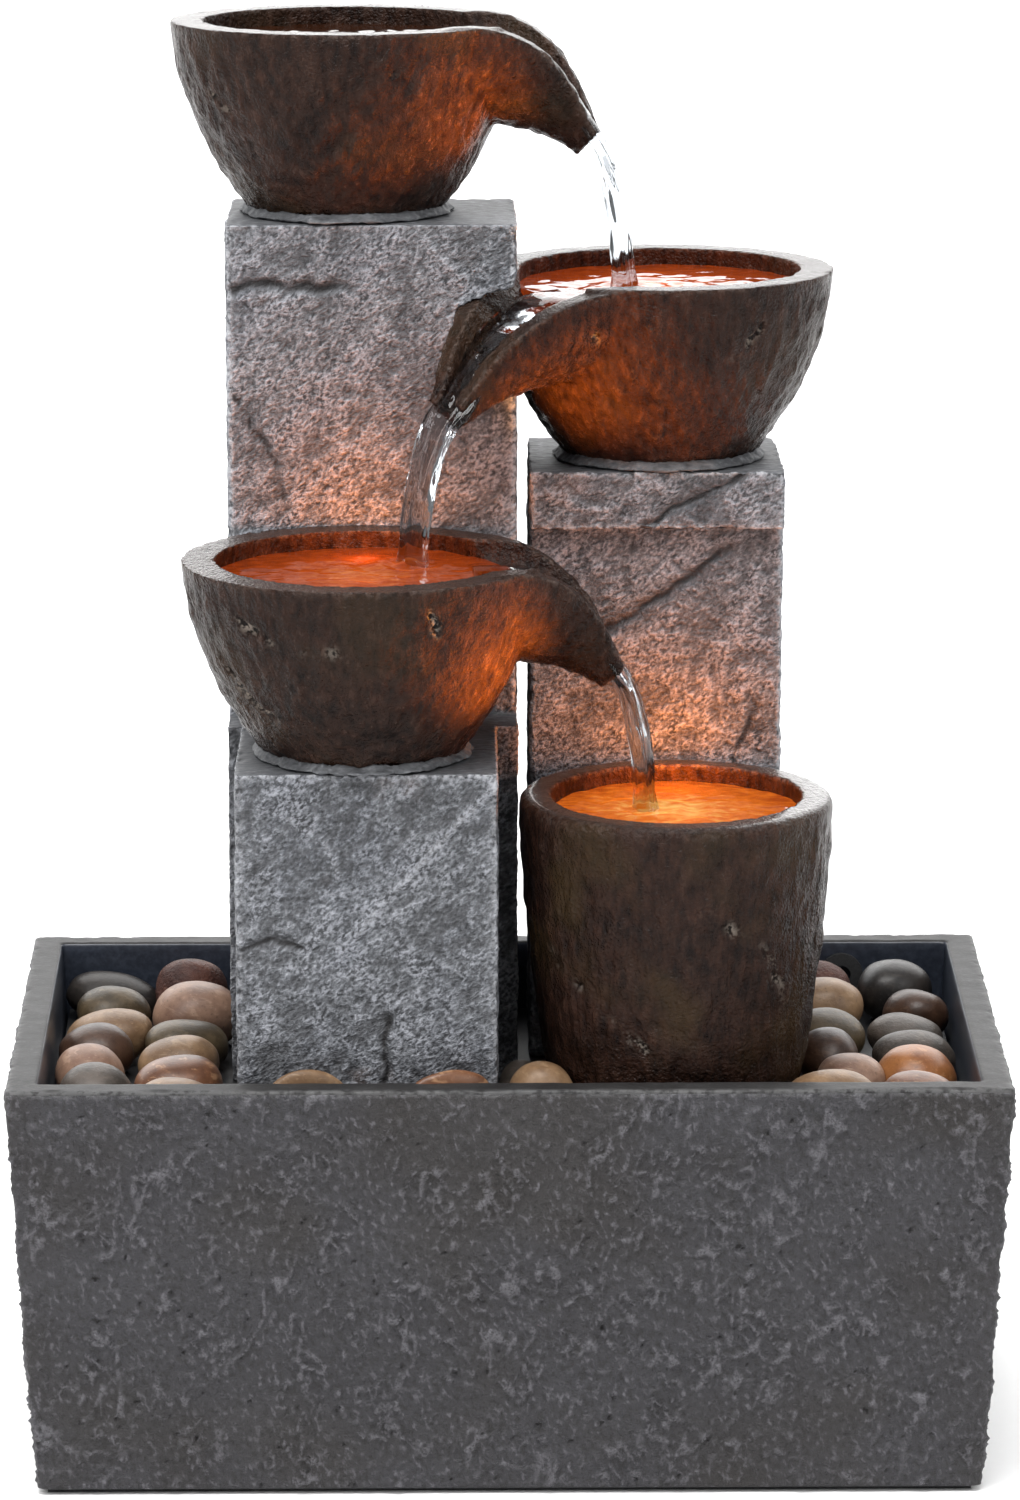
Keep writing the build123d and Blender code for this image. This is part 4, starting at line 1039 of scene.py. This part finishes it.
def makeStream(name, look):
    middle, turn = pools[name]["middle"], math.radians(look["turn"])
    line = []
    for out, below, wide, thick in lipFlow:
        far = bowlRadius + (out - bowlRadius) * look["reach"] if out > bowlRadius else out
        line.append((far, look["rim"] - below, wide, thick))
    tip, (landOut, landZ) = line[-1], look["land"]
    for t in np.linspace(0.06, 1, 15):
        line.append((
            tip[0] + (landOut - tip[0]) * (1 - (1 - t) ** 2),
            tip[1] + (landZ - 3 - tip[1]) * t**1.25,
            7.0 - 2.8 * min(t * 1.3, 1) + 1.6 * max(t - 0.85, 0) / 0.15,
            2.4 + 0.8 * t + 1.4 * max(t - 0.85, 0) / 0.15,
        ))
    line = np.array(line)
    steps, around = 90, 40
    length = np.concatenate([[0], np.cumsum(np.hypot(*np.diff(line[:, :2], axis=0).T))])
    want = np.linspace(0, length[-1], steps)
    line = np.column_stack([np.interp(want, length, line[:, i]) for i in range(4)])
    for i in range(4):
        line[1:-1, i] = (line[:-2, i] + 2 * line[1:-1, i] + line[2:, i]) / 4
    ahead = np.gradient(line[:, :2], axis=0)
    ahead = ahead / np.linalg.norm(ahead, axis=1)[:, None]
    over = np.column_stack([-ahead[:, 1], ahead[:, 0]])
    points = []
    for i, (out, z, wide, thick) in enumerate(line):
        a = np.linspace(0, 2 * math.pi, around, endpoint=False)
        side = wide * np.cos(a)
        lift = thick * np.sin(a)
        spot = np.column_stack([np.cos(a) * 1.5, np.sin(a) * 1.5, np.full(around, i * 0.045)])
        swell = 1 + waves(spot, 0.9, look["seed"]) * 0.30 + waves(spot, 0.35, look["seed"] + 2) * 0.18
        side, lift = side * (1 + (swell - 1) * 0.7), lift * swell
        o, h = out + over[i, 0] * lift, z - 0.5 * thick + over[i, 1] * lift
        points.append(np.column_stack([
            middle[0] + o * math.cos(turn) - side * math.sin(turn),
            middle[1] + o * math.sin(turn) + side * math.cos(turn),
            h,
        ]))
    points = np.vstack(points)
    grid = np.arange(steps * around).reshape(steps, around)
    right = np.roll(grid, -1, axis=1)
    quads = np.stack([grid[:-1], right[:-1], right[1:], grid[1:]], -1).reshape(-1, 4)
    ends = np.vstack([points[:around].mean(0), points[-around:].mean(0)])
    points = np.vstack([points, ends])
    first = np.stack([right[0], grid[0], np.full(around, len(points) - 2)], -1)
    last = np.stack([grid[-1], right[-1], np.full(around, len(points) - 1)], -1)
    corner = points[quads[:, 0]]
    facing = np.cross(points[quads[:, 1]] - corner, points[quads[:, 3]] - corner)
    if ((corner - points.mean(0)) * facing).sum() < 0:  # turn every face to look out
        quads, first, last = quads[:, ::-1], first[:, ::-1], last[:, ::-1]
    return addObject(name + "_stream", points * mm, [quads, np.vstack([first, last])], "tower")


clearWater = makeWater("clearWater", (0.56, 0.59, 0.62))
for name, look in pools.items():
    makePoolPiece(name, look)
for name, look in streams.items():
    paint(makeStream(name, look), clearWater)

# orange light from the lit vessels: a glow over each pool, and beams from it to the bowl above, in mm
glowColor, beamColor = (1.0, 0.25, 0.02), (1.0, 0.34, 0.03)
glows = {
    "middle": {"at": (43.6, 40.75, 324), "power": 0.09},
    "lower": {"at": (-39.6, -14, 253.5), "power": 0.12},
    "lowerFront": {"at": (-39.6, -45, 256), "power": 0.03},
    "pot": {"at": (46, -10, 188.5), "power": 0.16},
    "potFront": {"at": (46, -40, 190), "power": 0.05},
}
beams = {
    "toTop": {"at": (34, 12, 322), "aim": (-8, 8, 370), "power": 3.2, "cone": 40},
    "toTopFoot": {"at": (34, 6, 324), "aim": (-38, -2, 356), "power": 2.4, "cone": 22},
    "toMiddle": {"at": (-20, -52, 255), "aim": (22, 4, 300), "power": 2.6, "cone": 40},
    "toMiddleFoot": {"at": (-4, -50, 256), "aim": (48, 2, 284), "power": 1.2, "cone": 24},
    "toLower": {"at": (38, -62, 192), "aim": (-5, -62, 232), "power": 3.4, "cone": 44},
}
for name, look in {**glows, **beams}.items():
    lamp = bpy.data.lights.new(name + "Glow", "SPOT" if "aim" in look else "POINT")
    lamp.color = beamColor if "aim" in look else glowColor
    lamp.energy = look["power"]
    lamp.shadow_soft_size = 0.006
    spot = bpy.data.objects.new(name + "Glow", lamp)
    spot.location = [c * mm for c in look["at"]]
    if "aim" in look:
        lamp.spot_size = math.radians(look["cone"])
        lamp.spot_blend = 0.9
        aim = Vector(look["aim"]) * mm - spot.location
        spot.rotation_euler = aim.to_track_quat("-Z", "Y").to_euler()
    spot.visible_glossy = False  # kept out of reflections
    spot.visible_transmission = False
    bpy.context.scene.collection.objects.link(spot)
    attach(spot, "tower")
print("water ready")

# pieces that keep their CAD shape, by material slot
slotFinishes = {
    "dark_slate": makePlain("deckSlate", (0.045, 0.046, 0.05), 0.6, 1.6, bumpy=0.3),
    "grey_slate": mortar,
    "bronze_resin": bowlBronze,
    "black_plastic": makePlain("blackPlastic", (0.018, 0.018, 0.019), 0.42, 0.5),
    "white_plastic": makePlain("whitePlastic", (0.62, 0.62, 0.60), 0.38, 0.6),
    "clear_hose": makePlain("clearHose", (0.66, 0.70, 0.70), 0.22, 2.0, bumpy=0.05),
    "amber_lens": makePlain("amberLens", (0.85, 0.32, 0.05), 0.25, 0.8, bumpy=0.08),
    "green_board": makePlain("greenBoard", (0.03, 0.14, 0.06), 0.45, 0.8),
    "black_rubber": makePlain("blackRubber", (0.022, 0.022, 0.023), 0.68, 0.6),
    "lead_cover": makePlain("leadCover", (0.05, 0.05, 0.052), 0.5, 0.7),
    "steel": makePlain("steel", (0.55, 0.55, 0.56), 0.32, 0.4, metal=1.0),
    "core_steel": makePlain("coreSteel", (0.30, 0.30, 0.32), 0.45, 0.5, metal=1.0),
    "copper": makePlain("copper", (0.72, 0.30, 0.14), 0.34, 0.35, metal=1.0),
    "magnet": makePlain("magnet", (0.07, 0.07, 0.075), 0.5, 0.5),
    "shaft_ceramic": makePlain("shaftCeramic", (0.74, 0.72, 0.66), 0.3, 0.5),
    "river_stone": stoneFinishes["tan"],
}
nodeSlots = {s["node"]: s["material_slot"] for s in frame["record"]["subparts"]}
for node, shape in nodes.items():
    if not shape.hide_render:
        paint(shape, slotFinishes[nodeSlots[node]])
print("CAD pieces painted")

paper = Finish("paper")
paperGrain = paper.noise(3 * mm, 2.0, 0.5)
paper.feed({
    "Base Color": paper.mix(paperGrain, (0.93, 0.93, 0.93), (0.96, 0.96, 0.96)),
    "Roughness": 0.8,
})
# the floor, and a bright white screen far behind
stageLook = {"halfWidth": 8, "front": -6, "back": 6, "screenAt": 5.2, "screenTop": 5}
white = Finish("white")
white.feed({
    "Base Color": (0.9, 0.9, 0.9),
    "Roughness": 0.8,
    "Emission Color": (1.0, 1.0, 1.0),
    "Emission Strength": 1.0,
})


def makeSheet(name, corners, finish):
    mesh = bpy.data.meshes.new(name)
    mesh.from_pydata(corners, [], [(0, 1, 2, 3)])
    sheet = bpy.data.objects.new(name, mesh)
    bpy.context.scene.collection.objects.link(sheet)
    paint(sheet, finish)


wide, table = stageLook["halfWidth"], cadLow.z
front, back = stageLook["front"], stageLook["back"]
screenAt, screenTop = stageLook["screenAt"], stageLook["screenTop"]
makeSheet("floor", [
    (-wide, front, table), (wide, front, table), (wide, back, table), (-wide, back, table),
], paper)
makeSheet("screen", [
    (-wide, screenAt, table), (wide, screenAt, table),
    (wide, screenAt, screenTop), (-wide, screenAt, screenTop),
], white)

softBoxes = {  # in metres and watts; the far one lights the floor behind
    "left": {"at": (-0.85, -0.75, 0.90), "size": (0.6, 0.8), "power": 7.5},
    "right": {"at": (0.95, -0.65, 0.65), "size": (0.4, 0.8), "power": 4.0},
    "over": {"at": (-0.1, -0.42, 1.25), "size": (0.9, 0.6), "power": 19.5},
    "far": {"at": (0, 3.0, 1.4), "size": (5.0, 4.4), "power": 150.0, "aim": (0, 3.0, 0)},
}
for name, look in softBoxes.items():
    lamp = bpy.data.lights.new(name + "Box", "AREA")
    lamp.shape = "RECTANGLE"
    lamp.size, lamp.size_y = look["size"]
    lamp.energy = look["power"]
    box = bpy.data.objects.new(name + "Box", lamp)
    box.location = look["at"]
    aim = Vector(look.get("aim", (0, 0, 0.2))) - box.location
    box.rotation_euler = aim.to_track_quat("-Z", "Y").to_euler()
    bpy.context.scene.collection.objects.link(box)

world = bpy.data.worlds.new("studio")
bpy.context.scene.world = world
world.use_nodes = True
world.node_tree.nodes["Background"].inputs["Color"].default_value = (1, 1, 1, 1)
world.node_tree.nodes["Background"].inputs["Strength"].default_value = 0.26

scene = bpy.context.scene
scene.view_settings.view_transform = "Standard"
scene.view_settings.exposure = 0.0

cameraLook = {"at": (-0.01525, -1.4462, 0.5251), "lens": 127.2, "down": 12.963, "side": 0.638}
eye = bpy.data.cameras.new("camera")
eye.lens = cameraLook["lens"]
eye.sensor_width = 36
camera = bpy.data.objects.new("camera", eye)
camera.location = cameraLook["at"]
down, side = math.radians(cameraLook["down"]), math.radians(cameraLook["side"])
look = Vector((math.sin(side) * math.cos(down), math.cos(side) * math.cos(down), -math.sin(down)))
camera.rotation_euler = look.to_track_quat("-Z", "Y").to_euler()
scene.collection.objects.link(camera)
scene.camera = camera
